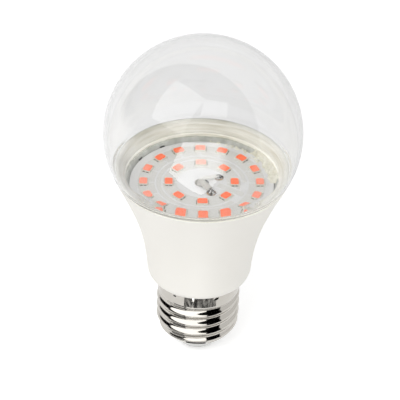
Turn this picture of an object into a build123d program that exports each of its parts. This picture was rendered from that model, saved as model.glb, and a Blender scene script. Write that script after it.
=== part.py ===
"""LED grow bulb with a screw cap, a flared housing and a clear globe over a ring of lamps.

Sizes are in millimetres. The origin is the centre of the centre contact's bottom face.
+Z runs up the axis of the bulb, from the contact to the crown of the globe, and -Y is the
front. Azimuths are in degrees, counted from +X towards +Y. Radii add up from the lamp board
to the globe, and heights from the contact to the seam, so a size that changes moves all
that lies outside or above it.
"""

import os
from math import cos, degrees, hypot, pi, radians, sin, sqrt

from build123d import *

# Lamp board, with a border round its tracks.
BOARD_HOLE_RADIUS = 2.2
BOARD_THICKNESS = 1.0
BOARD_BORDER = 2.6

# Copper tracks under the white lacquer of the lamp board, from the middle outwards.
TRACK_THICKNESS = 0.06
TRACK_GAP = 0.6
INNER_TRACK_INNER_RADIUS = 7.7
INNER_TRACK_WIDTH = 4.2
RING_TRACK_GAP = 0.7
RING_TRACK_WIDTH = 1.3
RING_TRACK_START = 4.0
RING_TRACK_SPAN = 312.0
OUTER_TRACK_WIDTH = 5.1
FEED_TRACK_WIDTH = 2.0
FEED_TRACK_START = (5.0, -0.9)
FEED_TRACK_ANGLE = -31.0
PAD_TRACK_BORDER = 0.75

# Lamps: sixteen on the outer ring and eight on the inner one.
OUTER_LED_COUNT = 16
OUTER_LED_SETBACK = 1.7
INNER_LED_COUNT = 8
INNER_LED_SETBACK = 1.8
LED_AZIMUTH = 2.4
LED_LENGTH = 3.5
LED_WIDTH = 2.8
LED_HEIGHT = 0.74
LED_END_WALL = 0.3
LED_SIDE_WALL = 0.25
LED_WINDOW_CORNER = 0.55
LED_WINDOW_DEPTH = 0.35
LED_TAB_SETBACK = 0.4
LED_TAB_REACH = 0.22
LED_TAB_THICKNESS = 0.2

# Two wires that rise through the board's hole and bend over to their solder joints.
PAD_SETBACK = 1.7
POSITIVE_PAD_AZIMUTH = 29.2
NEGATIVE_PAD_AZIMUTH = -59.6
SOLDER_RADIUS = 1.15
SOLDER_HEIGHT = 0.75
POSITIVE_WIRE_DIAMETER = 1.3
NEGATIVE_WIRE_DIAMETER = 1.6
WIRE_HOLE_CLEARANCE = 0.25
WIRE_PAIR_GAP = 0.2
WIRE_RISE = 1.6
WIRE_PAD_RISE = 0.85
WIRE_BEND_RADIUS = 1.2
WIRE_LOWER_BEND_RADIUS = 4.0
WIRE_OFFSET_X = 3.0
WIRE_OVERLAP_Z = 4.0
WIRE_STRAIGHT = 3.0

# Globe: a clear ball, open below, with a thickened root and a collar that plugs in the housing.
GLOBE_BULGE = 2.82
GLOBE_WALL = 1.3
GLOBE_ROOT_RISE = 5.2
COLLAR_WALL = 1.8
COLLAR_BORE_RISE = 0.5
COLLAR_DEPTH = 3.0
COLLAR_GLUE_GAP = 0.2

# Housing: a moulded trumpet from the seam with the globe down to a rounded bottom corner.
RIM_SETBACK = 3.3
RIM_WALL = 1.68
RIM_RISE = 5.4
FLARE_STEP = 3.3
FLARE_START_LEAN = 4.6
FLARE_START_PULL = 13.0
FLARE_END_PULL = 18.0
HOUSING_CORNER = 2.9
HOUSING_WALL = 1.2
HOUSING_FLOOR = 1.6

# Sealant: a thin line at the seam, and a smear over the board's edge on one side.
SEAM_GLUE = 0.3
SEAM_GLUE_SETBACK = 0.12
SMEAR_START = 6.0
SMEAR_SPAN = 72.0
SMEAR_REACH = 1.3
SMEAR_EDGE = 0.25
SMEAR_CLIMB = 0.4

# Aluminium cup that takes the lamp board's heat, with a shelf under the board.
PASTE_THICKNESS = 0.1
PASTE_SETBACK = 0.3
CUP_GAP = 0.05
CUP_WALL = 0.6
CUP_LIP = 1.1
CUP_FLOOR_GAP = 6.42
CUP_HOLE_GAP = 1.3
SHELF_OVERLAP = 1.6
SHELF_THICKNESS = 0.8

# Screw cap: a thin rolled shell of the 27 mm Edison size, staked to the housing's neck.
THREAD_CREST_RADIUS = 13.15
THREAD_DEPTH = 0.95
THREAD_PITCH = 3.629
THREAD_FRONT_CREST_DROP = 8.48
BAND_SETBACK = 0.15
BAND_HEIGHT = 5.33
BAND_STEP = 0.02
THREAD_RUNOUT = 1.3
THREAD_FADE_IN = 2.0
CURL_HEIGHT = 5.2
CURL_DEPTH = 2.85
SHELL_HEIGHT = 22.13
SHELL_WALL = 0.35
SHELL_TOP_GAP = 0.05
STAKE_COUNT = 6
STAKE_AZIMUTH = 236.0
STAKE_DROP = 1.73
STAKE_BALL_RADIUS = 0.9
STAKE_DEPTH = 0.2

# Thread surfaces are fitted through points this far apart.
SURFACE_TURN_POINTS = 49
SURFACE_HEIGHT_STEP = 0.24
SURFACE_TOLERANCE = 0.005

# Neck of the housing, inside the shell.
NECK_GAP = 0.1
NECK_WALL = 1.55
NECK_RISE = 4.2

# Insulator and centre contact.
INSULATOR_GAP = 0.1
INSULATOR_HEIGHT = 4.8
INSULATOR_GRIP = 1.4
INSULATOR_FOOT_BORDER = 1.4
INSULATOR_STEP = 0.25
CONTACT_RADIUS = 4.6
CONTACT_THICKNESS = 1.0
CONTACT_EDGE = 0.6
STEM_RADIUS = 1.0
STEM_GAP = 0.05
STEM_STAND = 0.5

# Driver board, upright in two slotted rails.
DRIVER_SIDE_GAP = 0.9
DRIVER_THICKNESS = 1.0
DRIVER_RISE = 4.0
DRIVER_HEAD = 4.0
DRIVER_HEADROOM = 6.9
RAIL_GRIP = 0.9
RAIL_SLOT_GAP = 0.1
RAIL_WALL = 1.1
RAIL_ROOT = 1.0
RAIL_FOOT = 2.0
RAIL_HEIGHT = 26.0

# Parts on the driver board. Each rise is counted from the board's lower edge.
CAPACITOR_NECK_GAP = 1.5
CAPACITOR_LENGTH = 13.0
CAPACITOR_RISE = 3.5
CAPACITOR_SEAT = 0.2
CAPACITOR_GROOVE = 0.35
CAPACITOR_GROOVE_RISE = 1.4
CAPACITOR_LEAD_PITCH = 3.5
LEAD_RADIUS = 0.3
LEAD_DROP = 1.6
LEAD_BEND = 0.7
CHOKE_RADIUS = 4.6
CHOKE_HEIGHT = 8.5
CHOKE_FLANGE = 1.2
CHOKE_SPINDLE_RADIUS = 2.0
CHOKE_WINDING_RADIUS = 4.2
CHOKE_GAP = 0.75
FILM_CAPACITOR_SIZE = (10.0, 4.5, 7.5)
FILM_CAPACITOR_GAP = 2.05
FILM_CAPACITOR_EDGE = 0.6
RESISTOR_RADIUS = 1.3
RESISTOR_LENGTH = 7.0
RESISTOR_RAIL_GAP = 0.5
RESISTOR_RISE = 8.0
RESISTOR_SEAT = 0.2
RESISTOR_LEAD_REACH = 1.5
BRIDGE_SIZE = (4.8, 2.5, 3.9)
BRIDGE_RISE = 10.0
BRIDGE_LEADS_PER_SIDE = 2
CHIP_SIZE = (4.9, 1.5, 3.9)
CHIP_RISE = 20.0
CHIP_LEADS_PER_SIDE = 4
PIN_WIDTH = 0.45
PIN_THICKNESS = 0.2
PIN_REACH = 1.1
CHIP_RESISTOR_SIZE = (2.0, 0.55, 1.25)
CHIP_RESISTOR_RISE = 15.0
CHIP_RESISTOR_PITCH = 4.0
CHIP_RESISTOR_ROWS = 4

# Leads from the driver board to the cap.
CAP_LEAD_RADIUS = 0.45
CAP_LEAD_OVERLAP_Z = 2.5
CAP_LEAD_BEND = 0.9
CAP_LEAD_GAP = 0.05
LIVE_LEAD_X = 2.6
NEUTRAL_LEAD_RAIL_GAP = 1.95
NEUTRAL_LEAD_DROP = 1.2

# Radii that follow, from the middle of the lamp board out to the globe.
PAD_RING_RADIUS = INNER_TRACK_INNER_RADIUS - PAD_SETBACK
PAD_TRACK_RADIUS = SOLDER_RADIUS + PAD_TRACK_BORDER
INNER_TRACK_OUTER_RADIUS = INNER_TRACK_INNER_RADIUS + INNER_TRACK_WIDTH
INNER_LED_RING_RADIUS = INNER_TRACK_OUTER_RADIUS - INNER_LED_SETBACK
RING_TRACK_INNER_RADIUS = INNER_TRACK_OUTER_RADIUS + RING_TRACK_GAP
RING_TRACK_OUTER_RADIUS = RING_TRACK_INNER_RADIUS + RING_TRACK_WIDTH
OUTER_TRACK_INNER_RADIUS = RING_TRACK_OUTER_RADIUS + TRACK_GAP
OUTER_TRACK_OUTER_RADIUS = OUTER_TRACK_INNER_RADIUS + OUTER_TRACK_WIDTH
OUTER_LED_RING_RADIUS = OUTER_TRACK_OUTER_RADIUS - OUTER_LED_SETBACK
BOARD_RADIUS = OUTER_TRACK_OUTER_RADIUS + BOARD_BORDER
SHELF_BORE_RADIUS = BOARD_RADIUS - SHELF_OVERLAP
RIM_BORE_RADIUS = BOARD_RADIUS + RIM_SETBACK
COLLAR_BORE_RADIUS = RIM_BORE_RADIUS - COLLAR_GLUE_GAP - COLLAR_WALL
SEAM_RADIUS = RIM_BORE_RADIUS + RIM_WALL
GLOBE_RADIUS = SEAM_RADIUS + GLOBE_BULGE
FAR = 4 * GLOBE_RADIUS

# Radii that follow in the cap and the neck.
BAND_RADIUS = THREAD_CREST_RADIUS - BAND_SETBACK
FLARE_START_RADIUS = BAND_RADIUS + FLARE_STEP
NECK_BORE_RADIUS = THREAD_CREST_RADIUS - THREAD_DEPTH - SHELL_WALL - NECK_GAP - NECK_WALL
INSULATOR_FOOT_RADIUS = CONTACT_RADIUS + INSULATOR_FOOT_BORDER
CUP_HOLE_RADIUS = NECK_BORE_RADIUS + RAIL_ROOT + CUP_HOLE_GAP
DRIVER_WIDTH = 2 * (NECK_BORE_RADIUS - DRIVER_SIDE_GAP)
DRIVER_FACE = DRIVER_THICKNESS / 2
RAIL_INNER_X = DRIVER_WIDTH / 2 - RAIL_GRIP
CAPACITOR_RADIUS = (NECK_BORE_RADIUS - DRIVER_FACE - CAPACITOR_SEAT - CAPACITOR_NECK_GAP) / 2
RESISTOR_X = RAIL_INNER_X - RESISTOR_RAIL_GAP - RESISTOR_RADIUS
CHIP_RESISTOR_X = (CHIP_SIZE[0] / 2 + RAIL_INNER_X) / 2
NEUTRAL_LEAD_X = -(RAIL_INNER_X - NEUTRAL_LEAD_RAIL_GAP - CAP_LEAD_RADIUS)

# Heights that follow, from the contact up to the globe.
SHELL_BOTTOM_Z = CONTACT_THICKNESS + INSULATOR_HEIGHT
INSULATOR_TOP_Z = SHELL_BOTTOM_Z + INSULATOR_GRIP
CURL_START_Z = SHELL_BOTTOM_Z + CURL_HEIGHT
SHELL_TOP_Z = SHELL_BOTTOM_Z + SHELL_HEIGHT
THREAD_FRONT_CREST_Z = SHELL_TOP_Z - THREAD_FRONT_CREST_DROP
BAND_BOTTOM_Z = SHELL_TOP_Z - BAND_HEIGHT
STAKE_Z = SHELL_TOP_Z - STAKE_DROP
NECK_BOTTOM_Z = SHELL_BOTTOM_Z + NECK_RISE
HOUSING_BOTTOM_Z = SHELL_TOP_Z + SHELL_TOP_GAP
HOUSING_FLOOR_Z = HOUSING_BOTTOM_Z + HOUSING_FLOOR
CORNER_CENTRE_R = FLARE_START_RADIUS - HOUSING_CORNER * cos(radians(FLARE_START_LEAN))
CORNER_CENTRE_Z = HOUSING_BOTTOM_Z + HOUSING_CORNER
FLARE_START_Z = CORNER_CENTRE_Z - HOUSING_CORNER * sin(radians(FLARE_START_LEAN))
DRIVER_BOTTOM_Z = NECK_BOTTOM_Z + DRIVER_RISE
CAPACITOR_BOTTOM_Z = DRIVER_BOTTOM_Z + CAPACITOR_RISE
FILM_CAPACITOR_BOTTOM_Z = CAPACITOR_BOTTOM_Z + CAPACITOR_LENGTH + FILM_CAPACITOR_GAP
FILM_CAPACITOR_Z = FILM_CAPACITOR_BOTTOM_Z + FILM_CAPACITOR_SIZE[2] / 2
CHOKE_Z = FILM_CAPACITOR_BOTTOM_Z + FILM_CAPACITOR_SIZE[2] + CHOKE_GAP + CHOKE_RADIUS
DRIVER_TOP_Z = CHOKE_Z + CHOKE_RADIUS + DRIVER_HEAD
CUP_BOTTOM_Z = HOUSING_FLOOR_Z + CUP_FLOOR_GAP
BOARD_BOTTOM_Z = DRIVER_TOP_Z + DRIVER_HEADROOM
BOARD_TOP_Z = BOARD_BOTTOM_Z + BOARD_THICKNESS
TRACK_TOP_Z = BOARD_TOP_Z + TRACK_THICKNESS
SHELF_TOP_Z = BOARD_BOTTOM_Z - PASTE_THICKNESS
CUP_TOP_Z = BOARD_TOP_Z + CUP_LIP
SEAM_Z = BOARD_TOP_Z + RIM_RISE
GLOBE_CENTRE_Z = SEAM_Z + sqrt(GLOBE_RADIUS**2 - SEAM_RADIUS**2)

STANDING = (Align.CENTER, Align.CENTER, Align.MIN)
OVERCUT = 1.0


def largest(shape):
    """The largest solid of a cut shape."""
    return shape.solids().sort_by(SortBy.VOLUME)[-1]


def slab(bottom_z, top_z, radius=FAR):
    """An upright cylinder on the axis between two heights."""
    return Pos(0, 0, bottom_z) * Cylinder(radius, top_z - bottom_z, align=STANDING)


def ring(inner_radius, outer_radius, bottom_z, top_z):
    """A ring on the axis between two heights."""
    return slab(bottom_z, top_z, outer_radius) - slab(bottom_z - OVERCUT, top_z + OVERCUT, inner_radius)


def turned(points, arc=360.0):
    """A solid turned about the axis from a closed outline of (radius, height) points."""
    with BuildSketch(Plane.XZ) as section:
        with BuildLine():
            Polyline(*points, close=True)
        make_face()
    return revolve(section.sketch, Axis.Z, arc)


def round_rod(points, radius, bend):
    """A round wire along straight runs joined by arcs."""
    path = FilletPolyline(*points, radius=bend) if len(points) > 2 else Polyline(*points)
    start = Plane(origin=path @ 0, z_dir=path % 0)
    return sweep(start * Circle(radius), path=path)


def flare_curve(inset):
    """The housing's side in section, moved towards the axis by the inset."""
    start_r = FLARE_START_RADIUS - inset
    end_r = SEAM_RADIUS - inset
    lean = radians(FLARE_START_LEAN)
    tangent_r = (GLOBE_CENTRE_Z - SEAM_Z) / GLOBE_RADIUS
    tangent_z = SEAM_RADIUS / GLOBE_RADIUS
    return Bezier(
        (start_r, FLARE_START_Z),
        (start_r + FLARE_START_PULL * sin(lean), FLARE_START_Z + FLARE_START_PULL * cos(lean)),
        (end_r - FLARE_END_PULL * tangent_r, SEAM_Z - FLARE_END_PULL * tangent_z),
        (end_r, SEAM_Z),
    )


def flare_core(inset, bottom_z, top_z):
    """The solid inside the housing's side, moved in by the inset, between two heights."""
    with BuildSketch(Plane.XZ) as section:
        with BuildLine():
            side = flare_curve(inset)
            foot = (FLARE_START_RADIUS - inset, HOUSING_BOTTOM_Z)
            Polyline(side @ 1, (0, SEAM_Z), (0, HOUSING_BOTTOM_Z), foot, side @ 0)
        make_face()
    return revolve(section.sketch, Axis.Z) & slab(bottom_z, top_z)


def fade(value):
    """A smooth step from 0 to 1."""
    part = min(max(value, 0.0), 1.0)
    return part * part * (3 - 2 * part)


def crest_radius(z):
    """Outer radius of the shell without its thread: straight, with a curl at the bottom."""
    curl = max(CURL_START_Z - z, 0.0) / (CURL_START_Z - SHELL_BOTTOM_Z)
    return THREAD_CREST_RADIUS - CURL_DEPTH * curl**2


def shell_radius(azimuth, z):
    """Outer radius of the rolled shell, whose crests climb to the right as on a right-hand screw."""
    turn = (azimuth + pi / 2) / (2 * pi)
    wave = (1 - cos(2 * pi * ((z - THREAD_FRONT_CREST_Z) / THREAD_PITCH - turn))) / 2
    depth = THREAD_DEPTH * fade((z - INSULATOR_TOP_Z) / THREAD_FADE_IN)
    thread = fade((BAND_BOTTOM_Z - z) / THREAD_RUNOUT)
    return (1 - thread) * (BAND_RADIUS - BAND_STEP) + thread * (crest_radius(z) - depth * wave)


def shell_skin(inset, bottom_z, top_z):
    """The shell's surface, moved in by the inset, as one face round the axis."""
    rows = round((top_z - bottom_z) / SURFACE_HEIGHT_STEP) + 1
    points = []
    for i in range(SURFACE_TURN_POINTS):
        azimuth = pi / 2 + 2 * pi * i / (SURFACE_TURN_POINTS - 1)
        column = []
        for j in range(rows):
            z = bottom_z + (top_z - bottom_z) * j / (rows - 1)
            r = shell_radius(azimuth, z) - inset
            column.append(Vector(r * cos(azimuth), r * sin(azimuth), z))
        points.append(column)
    return Face.make_surface_from_array_of_points(points, tol=SURFACE_TOLERANCE, min_deg=3, max_deg=5)


def level_rim(face, z):
    """The closed edge of a face at a height."""
    near = SURFACE_TOLERANCE
    edges = [edge for edge in face.edges() if edge.is_closed and abs(edge.center().Z - z) < near]
    return Wire(edges)


def threaded_plug(inset, bottom_z, top_z):
    """A solid with the shell's thread on its side."""
    side = shell_skin(inset, bottom_z, top_z)
    ends = [Face(level_rim(side, z)) for z in (bottom_z, top_z)]
    return Solid(Shell([side] + ends))


def threaded_sleeve(wall, bottom_z, top_z):
    """A thin tube with the thread inside and out, as rolled from sheet."""
    outer = shell_skin(0, bottom_z, top_z)
    inner = shell_skin(wall, bottom_z, top_z)
    ends = [Face(level_rim(outer, z), [level_rim(inner, z)]) for z in (bottom_z, top_z)]
    return Solid(Shell([outer, inner] + ends))


def make_screw_shell():
    """A rolled thread below a plain band, which is staked into the neck."""
    shell = threaded_sleeve(SHELL_WALL, SHELL_BOTTOM_Z, BAND_BOTTOM_Z)
    shell += ring(BAND_RADIUS - SHELL_WALL, BAND_RADIUS, BAND_BOTTOM_Z, SHELL_TOP_Z)
    centre_r = BAND_RADIUS - STAKE_DEPTH + STAKE_BALL_RADIUS
    for i in range(STAKE_COUNT):
        azimuth = STAKE_AZIMUTH + 360 * i / STAKE_COUNT
        shell -= Rot(0, 0, azimuth) * Pos(centre_r, 0, STAKE_Z) * Sphere(STAKE_BALL_RADIUS)
    return shell


def make_insulator():
    """A pale cone that carries the contact and is gripped by the shell's curled edge."""
    steps = round((INSULATOR_TOP_Z - SHELL_BOTTOM_Z) / INSULATOR_STEP)
    heights = [SHELL_BOTTOM_Z + (INSULATOR_TOP_Z - SHELL_BOTTOM_Z) * i / steps for i in range(steps + 1)]
    grip = [(crest_radius(z) - SHELL_WALL - INSULATOR_GAP, z) for z in heights]
    bore = STEM_RADIUS + STEM_GAP
    foot = [(bore, CONTACT_THICKNESS), (INSULATOR_FOOT_RADIUS, CONTACT_THICKNESS)]
    return turned(foot + grip + [(bore, INSULATOR_TOP_Z)])


def make_contact():
    with BuildSketch(Plane.XZ) as section:
        with BuildLine():
            Line((0, 0), (CONTACT_RADIUS - CONTACT_EDGE, 0))
            RadiusArc((CONTACT_RADIUS - CONTACT_EDGE, 0), (CONTACT_RADIUS, CONTACT_EDGE), -CONTACT_EDGE)
            Polyline(
                (CONTACT_RADIUS, CONTACT_EDGE),
                (CONTACT_RADIUS, CONTACT_THICKNESS),
                (STEM_RADIUS, CONTACT_THICKNESS),
                (STEM_RADIUS, INSULATOR_TOP_Z + STEM_STAND),
                (0, INSULATOR_TOP_Z + STEM_STAND),
                (0, 0),
            )
        make_face()
    return revolve(section.sketch, Axis.Z)


def rail(side):
    """One slotted rail for an edge of the driver board; side is -1 or 1."""
    outer_x = NECK_BORE_RADIUS + RAIL_ROOT
    slot_half = DRIVER_FACE + RAIL_SLOT_GAP
    bottom_z = DRIVER_BOTTOM_Z - RAIL_FOOT
    low = (Align.MIN, Align.CENTER, Align.MIN)
    post = Box(outer_x - RAIL_INNER_X, 2 * (slot_half + RAIL_WALL), RAIL_HEIGHT, align=low)
    slot = Box(RAIL_GRIP + RAIL_SLOT_GAP, 2 * slot_half, RAIL_HEIGHT, align=low)
    one = Pos(RAIL_INNER_X, 0, bottom_z) * post - Pos(RAIL_INNER_X, 0, DRIVER_BOTTOM_Z) * slot
    return one if side > 0 else mirror(one, Plane.YZ)


def make_housing():
    with BuildSketch(Plane.XZ) as section:
        with BuildLine():
            side = flare_curve(0)
            corner_start = (CORNER_CENTRE_R, HOUSING_BOTTOM_Z)
            Polyline(side @ 1, (0, SEAM_Z), (0, HOUSING_BOTTOM_Z), corner_start)
            CenterArc((CORNER_CENTRE_R, CORNER_CENTRE_Z), HOUSING_CORNER, -90, 90 - FLARE_START_LEAN)
        make_face()
    outside = revolve(section.sketch, Axis.Z) & slab(HOUSING_BOTTOM_Z - OVERCUT, SEAM_Z - SEAM_GLUE)
    cavity = flare_core(HOUSING_WALL, HOUSING_FLOOR_Z, SEAM_Z)
    cavity &= slab(HOUSING_FLOOR_Z, SEAM_Z, RIM_BORE_RADIUS)
    neck = threaded_plug(SHELL_WALL + NECK_GAP, NECK_BOTTOM_Z, HOUSING_FLOOR_Z)
    bore = slab(NECK_BOTTOM_Z - OVERCUT, HOUSING_FLOOR_Z + OVERCUT, NECK_BORE_RADIUS)
    housing = (outside - cavity) + neck - bore
    for side in (-1, 1):
        housing += rail(side)
    return housing


def collar_outline():
    """Outer side of the collar: straight in the rim's bore, then in step with the flare."""
    bottom_z = SEAM_Z - COLLAR_DEPTH
    tapered = flare_core(HOUSING_WALL + COLLAR_GLUE_GAP, bottom_z, SEAM_Z)
    return tapered & slab(bottom_z, SEAM_Z, RIM_BORE_RADIUS - COLLAR_GLUE_GAP)


def make_globe():
    inner = GLOBE_RADIUS - GLOBE_WALL
    root_top_z = SEAM_Z + GLOBE_ROOT_RISE
    root_top_r = sqrt(inner**2 - (GLOBE_CENTRE_Z - root_top_z) ** 2)
    ball = Pos(0, 0, GLOBE_CENTRE_Z) * Sphere(GLOBE_RADIUS) & slab(SEAM_Z, FAR)
    hollow = Pos(0, 0, GLOBE_CENTRE_Z) * Sphere(inner) & slab(root_top_z, FAR)
    bore_top_z = SEAM_Z + COLLAR_BORE_RISE
    root_points = [
        (0, SEAM_Z - COLLAR_DEPTH - OVERCUT),
        (COLLAR_BORE_RADIUS, SEAM_Z - COLLAR_DEPTH - OVERCUT),
        (COLLAR_BORE_RADIUS, bore_top_z),
        (root_top_r, root_top_z),
        (0, root_top_z),
    ]
    return (ball + collar_outline()) - (hollow + turned(root_points))


def make_adhesive(globe, housing, cup):
    """Sealant between the collar, the rim and the cup, with a thin line at the seam.

    It is smeared over the edge of the lamp board on one side.
    """
    seam_line = ring(COLLAR_BORE_RADIUS, SEAM_RADIUS - SEAM_GLUE_SETBACK, SEAM_Z - SEAM_GLUE, SEAM_Z)
    middle = slab(CUP_TOP_Z - OVERCUT, SEAM_Z + OVERCUT, COLLAR_BORE_RADIUS)
    fill = flare_core(HOUSING_WALL, CUP_TOP_Z, SEAM_Z) - middle
    smear_inner = BOARD_RADIUS - SMEAR_REACH
    smear_top_z = CUP_TOP_Z + SMEAR_CLIMB
    smear_outline = [
        (smear_inner, BOARD_TOP_Z),
        (RIM_BORE_RADIUS, BOARD_TOP_Z),
        (RIM_BORE_RADIUS, smear_top_z),
        (COLLAR_BORE_RADIUS, smear_top_z),
        (smear_inner, BOARD_TOP_Z + SMEAR_EDGE),
    ]
    smear = Rot(0, 0, SMEAR_START) * turned(smear_outline, SMEAR_SPAN)
    smear &= flare_core(HOUSING_WALL, BOARD_TOP_Z, SEAM_Z)
    return largest((seam_line + fill + smear) - globe - housing - cup)


def make_cup():
    outside = HOUSING_WALL + CUP_GAP
    cup = flare_core(outside, CUP_BOTTOM_Z, CUP_TOP_Z)
    cup -= flare_core(outside + CUP_WALL, CUP_BOTTOM_Z + CUP_WALL, CUP_TOP_Z)
    cup -= slab(CUP_BOTTOM_Z - OVERCUT, CUP_BOTTOM_Z + CUP_WALL + OVERCUT, CUP_HOLE_RADIUS)
    shelf = flare_core(outside, SHELF_TOP_Z - SHELF_THICKNESS, SHELF_TOP_Z)
    return cup + (shelf - slab(CUP_BOTTOM_Z, CUP_TOP_Z, SHELF_BORE_RADIUS))


def make_paste():
    inner = SHELF_BORE_RADIUS + PASTE_SETBACK
    return ring(inner, BOARD_RADIUS - PASTE_SETBACK, SHELF_TOP_Z, BOARD_BOTTOM_Z)


def make_board():
    return ring(BOARD_HOLE_RADIUS, BOARD_RADIUS, BOARD_BOTTOM_Z, BOARD_TOP_Z)


def track_sector(inner_radius, outer_radius, start, span):
    """A piece of track between two radii, from a start azimuth through a span."""
    with BuildSketch() as area:
        with BuildLine():
            outer = CenterArc((0, 0), outer_radius, start, span)
            inner = CenterArc((0, 0), inner_radius, start, span)
            Line(outer @ 0, inner @ 0)
            Line(outer @ 1, inner @ 1)
        make_face()
    return area.sketch


def track_bar(start, angle, length, width):
    """A straight piece of track from a start point."""
    low = (Align.MIN, Align.CENTER)
    return Pos(*start) * Rot(0, 0, angle) * Rectangle(length, width, align=low)


def pad_place(azimuth):
    """The centre of a solder pad on the lamp board."""
    return PAD_RING_RADIUS * cos(radians(azimuth)), PAD_RING_RADIUS * sin(radians(azimuth))


def make_tracks():
    areas = []
    gap_middle = (OUTER_TRACK_INNER_RADIUS + OUTER_TRACK_OUTER_RADIUS) / 2
    step = 360 / OUTER_LED_COUNT
    gap = degrees(TRACK_GAP / gap_middle)
    for i in range(OUTER_LED_COUNT):
        start = LED_AZIMUTH + step * i + gap / 2
        areas.append(track_sector(OUTER_TRACK_INNER_RADIUS, OUTER_TRACK_OUTER_RADIUS, start, step - gap))
    feed_length = hypot(*FEED_TRACK_START) + OUTER_TRACK_INNER_RADIUS
    feed = track_bar(FEED_TRACK_START, FEED_TRACK_ANGLE, feed_length, FEED_TRACK_WIDTH)
    feed &= Circle(OUTER_TRACK_INNER_RADIUS - TRACK_GAP)
    border_width = FEED_TRACK_WIDTH + 2 * TRACK_GAP
    feed_border = track_bar(FEED_TRACK_START, FEED_TRACK_ANGLE, feed_length, border_width)
    step = 360 / INNER_LED_COUNT
    gap = degrees(2 * TRACK_GAP / (INNER_TRACK_INNER_RADIUS + INNER_TRACK_OUTER_RADIUS))
    for i in range(INNER_LED_COUNT):
        start = LED_AZIMUTH + step * i + gap / 2
        sector = track_sector(INNER_TRACK_INNER_RADIUS, INNER_TRACK_OUTER_RADIUS, start, step - gap)
        areas.append(sector - feed_border)
    ring_radii = (RING_TRACK_INNER_RADIUS, RING_TRACK_OUTER_RADIUS)
    loop = track_sector(*ring_radii, RING_TRACK_START, RING_TRACK_SPAN)
    areas.append(loop - feed_border)
    inside = Circle(INNER_TRACK_INNER_RADIUS - TRACK_GAP) - Circle(BOARD_HOLE_RADIUS + TRACK_GAP)
    negative_pad = Pos(*pad_place(NEGATIVE_PAD_AZIMUTH)) * Circle(PAD_TRACK_RADIUS) & inside
    positive_pad = Pos(*pad_place(POSITIVE_PAD_AZIMUTH)) * Circle(PAD_TRACK_RADIUS) & inside
    areas.append(feed)
    areas.append(negative_pad - feed_border)
    areas.append(positive_pad - feed_border)
    solids = []
    for area in areas:
        for face in area.faces():
            solids.extend(extrude(face, TRACK_THICKNESS).solids())
    return [Pos(0, 0, BOARD_TOP_Z) * solid for solid in solids]


def led_places():
    """Name and place of each lamp, outer ring first. Local X is radial."""
    outer = ("outer_led", OUTER_LED_COUNT, OUTER_LED_RING_RADIUS)
    inner = ("inner_led", INNER_LED_COUNT, INNER_LED_RING_RADIUS)
    places = []
    for name, count, radius in (outer, inner):
        for i in range(count):
            place = Rot(0, 0, LED_AZIMUTH + 360 * i / count) * Pos(radius, 0, TRACK_TOP_Z)
            places.append((name, i + 1, place))
    return places


def led_window():
    """The coloured resin in a lamp's pocket, at the lamp's own place."""
    width = LED_WIDTH - 2 * LED_SIDE_WALL
    length = LED_LENGTH - 2 * LED_END_WALL
    top = Pos(0, 0, LED_HEIGHT) * RectangleRounded(width, length, LED_WINDOW_CORNER)
    return extrude(top, -LED_WINDOW_DEPTH)


def led_body():
    body = Box(LED_WIDTH, LED_LENGTH, LED_HEIGHT, align=STANDING)
    return body - led_window()


def led_tabs():
    """The two metal ends of a lamp."""
    tabs = []
    width = LED_WIDTH - 2 * LED_TAB_SETBACK
    for side in (-1, 1):
        tab = Box(width, LED_TAB_REACH, LED_TAB_THICKNESS, align=STANDING)
        tabs.append(Pos(0, side * (LED_LENGTH + LED_TAB_REACH) / 2, 0) * tab)
    return tabs


def solder_dome(pad):
    """A low dome of solder on a pad."""
    ball = (SOLDER_RADIUS**2 + SOLDER_HEIGHT**2) / (2 * SOLDER_HEIGHT)
    dome = Pos(0, 0, SOLDER_HEIGHT - ball) * Sphere(ball) & slab(0, SOLDER_HEIGHT)
    return Pos(*pad, TRACK_TOP_Z) * dome


def lamp_wire(pad, side, diameter, dome):
    """An insulated wire from the driver board, up through the hole and over to its pad."""
    radius = diameter / 2
    hole_y = side * min(radius + WIRE_PAIR_GAP / 2, BOARD_HOLE_RADIUS - WIRE_HOLE_CLEARANCE - radius)
    board_y = side * (DRIVER_FACE + radius + CAP_LEAD_GAP)
    points = [
        (WIRE_OFFSET_X * side, board_y, DRIVER_TOP_Z - WIRE_OVERLAP_Z),
        (WIRE_OFFSET_X * side, board_y, DRIVER_TOP_Z + WIRE_STRAIGHT / 2),
        (0, hole_y, BOARD_BOTTOM_Z - WIRE_STRAIGHT / 2),
        (0, hole_y, BOARD_TOP_Z + WIRE_RISE),
        (pad[0], pad[1], TRACK_TOP_Z + WIRE_PAD_RISE),
    ]
    bends = [WIRE_LOWER_BEND_RADIUS, WIRE_LOWER_BEND_RADIUS, WIRE_BEND_RADIUS]
    return largest(round_rod(points, radius, bends) - dome)


def make_driver_board():
    board = Box(DRIVER_WIDTH, DRIVER_THICKNESS, DRIVER_TOP_Z - DRIVER_BOTTOM_Z, align=STANDING)
    return Pos(0, 0, DRIVER_BOTTOM_Z) * board


def make_capacitor():
    """A sleeved can with the rolled groove of an electrolytic capacitor."""
    y = -(DRIVER_FACE + CAPACITOR_SEAT + CAPACITOR_RADIUS)
    can = slab(0, CAPACITOR_LENGTH, CAPACITOR_RADIUS)
    groove = Torus(CAPACITOR_RADIUS + CAPACITOR_GROOVE, 2 * CAPACITOR_GROOVE)
    return Pos(0, y, CAPACITOR_BOTTOM_Z) * (can - Pos(0, 0, CAPACITOR_GROOVE_RISE) * groove)


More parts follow.
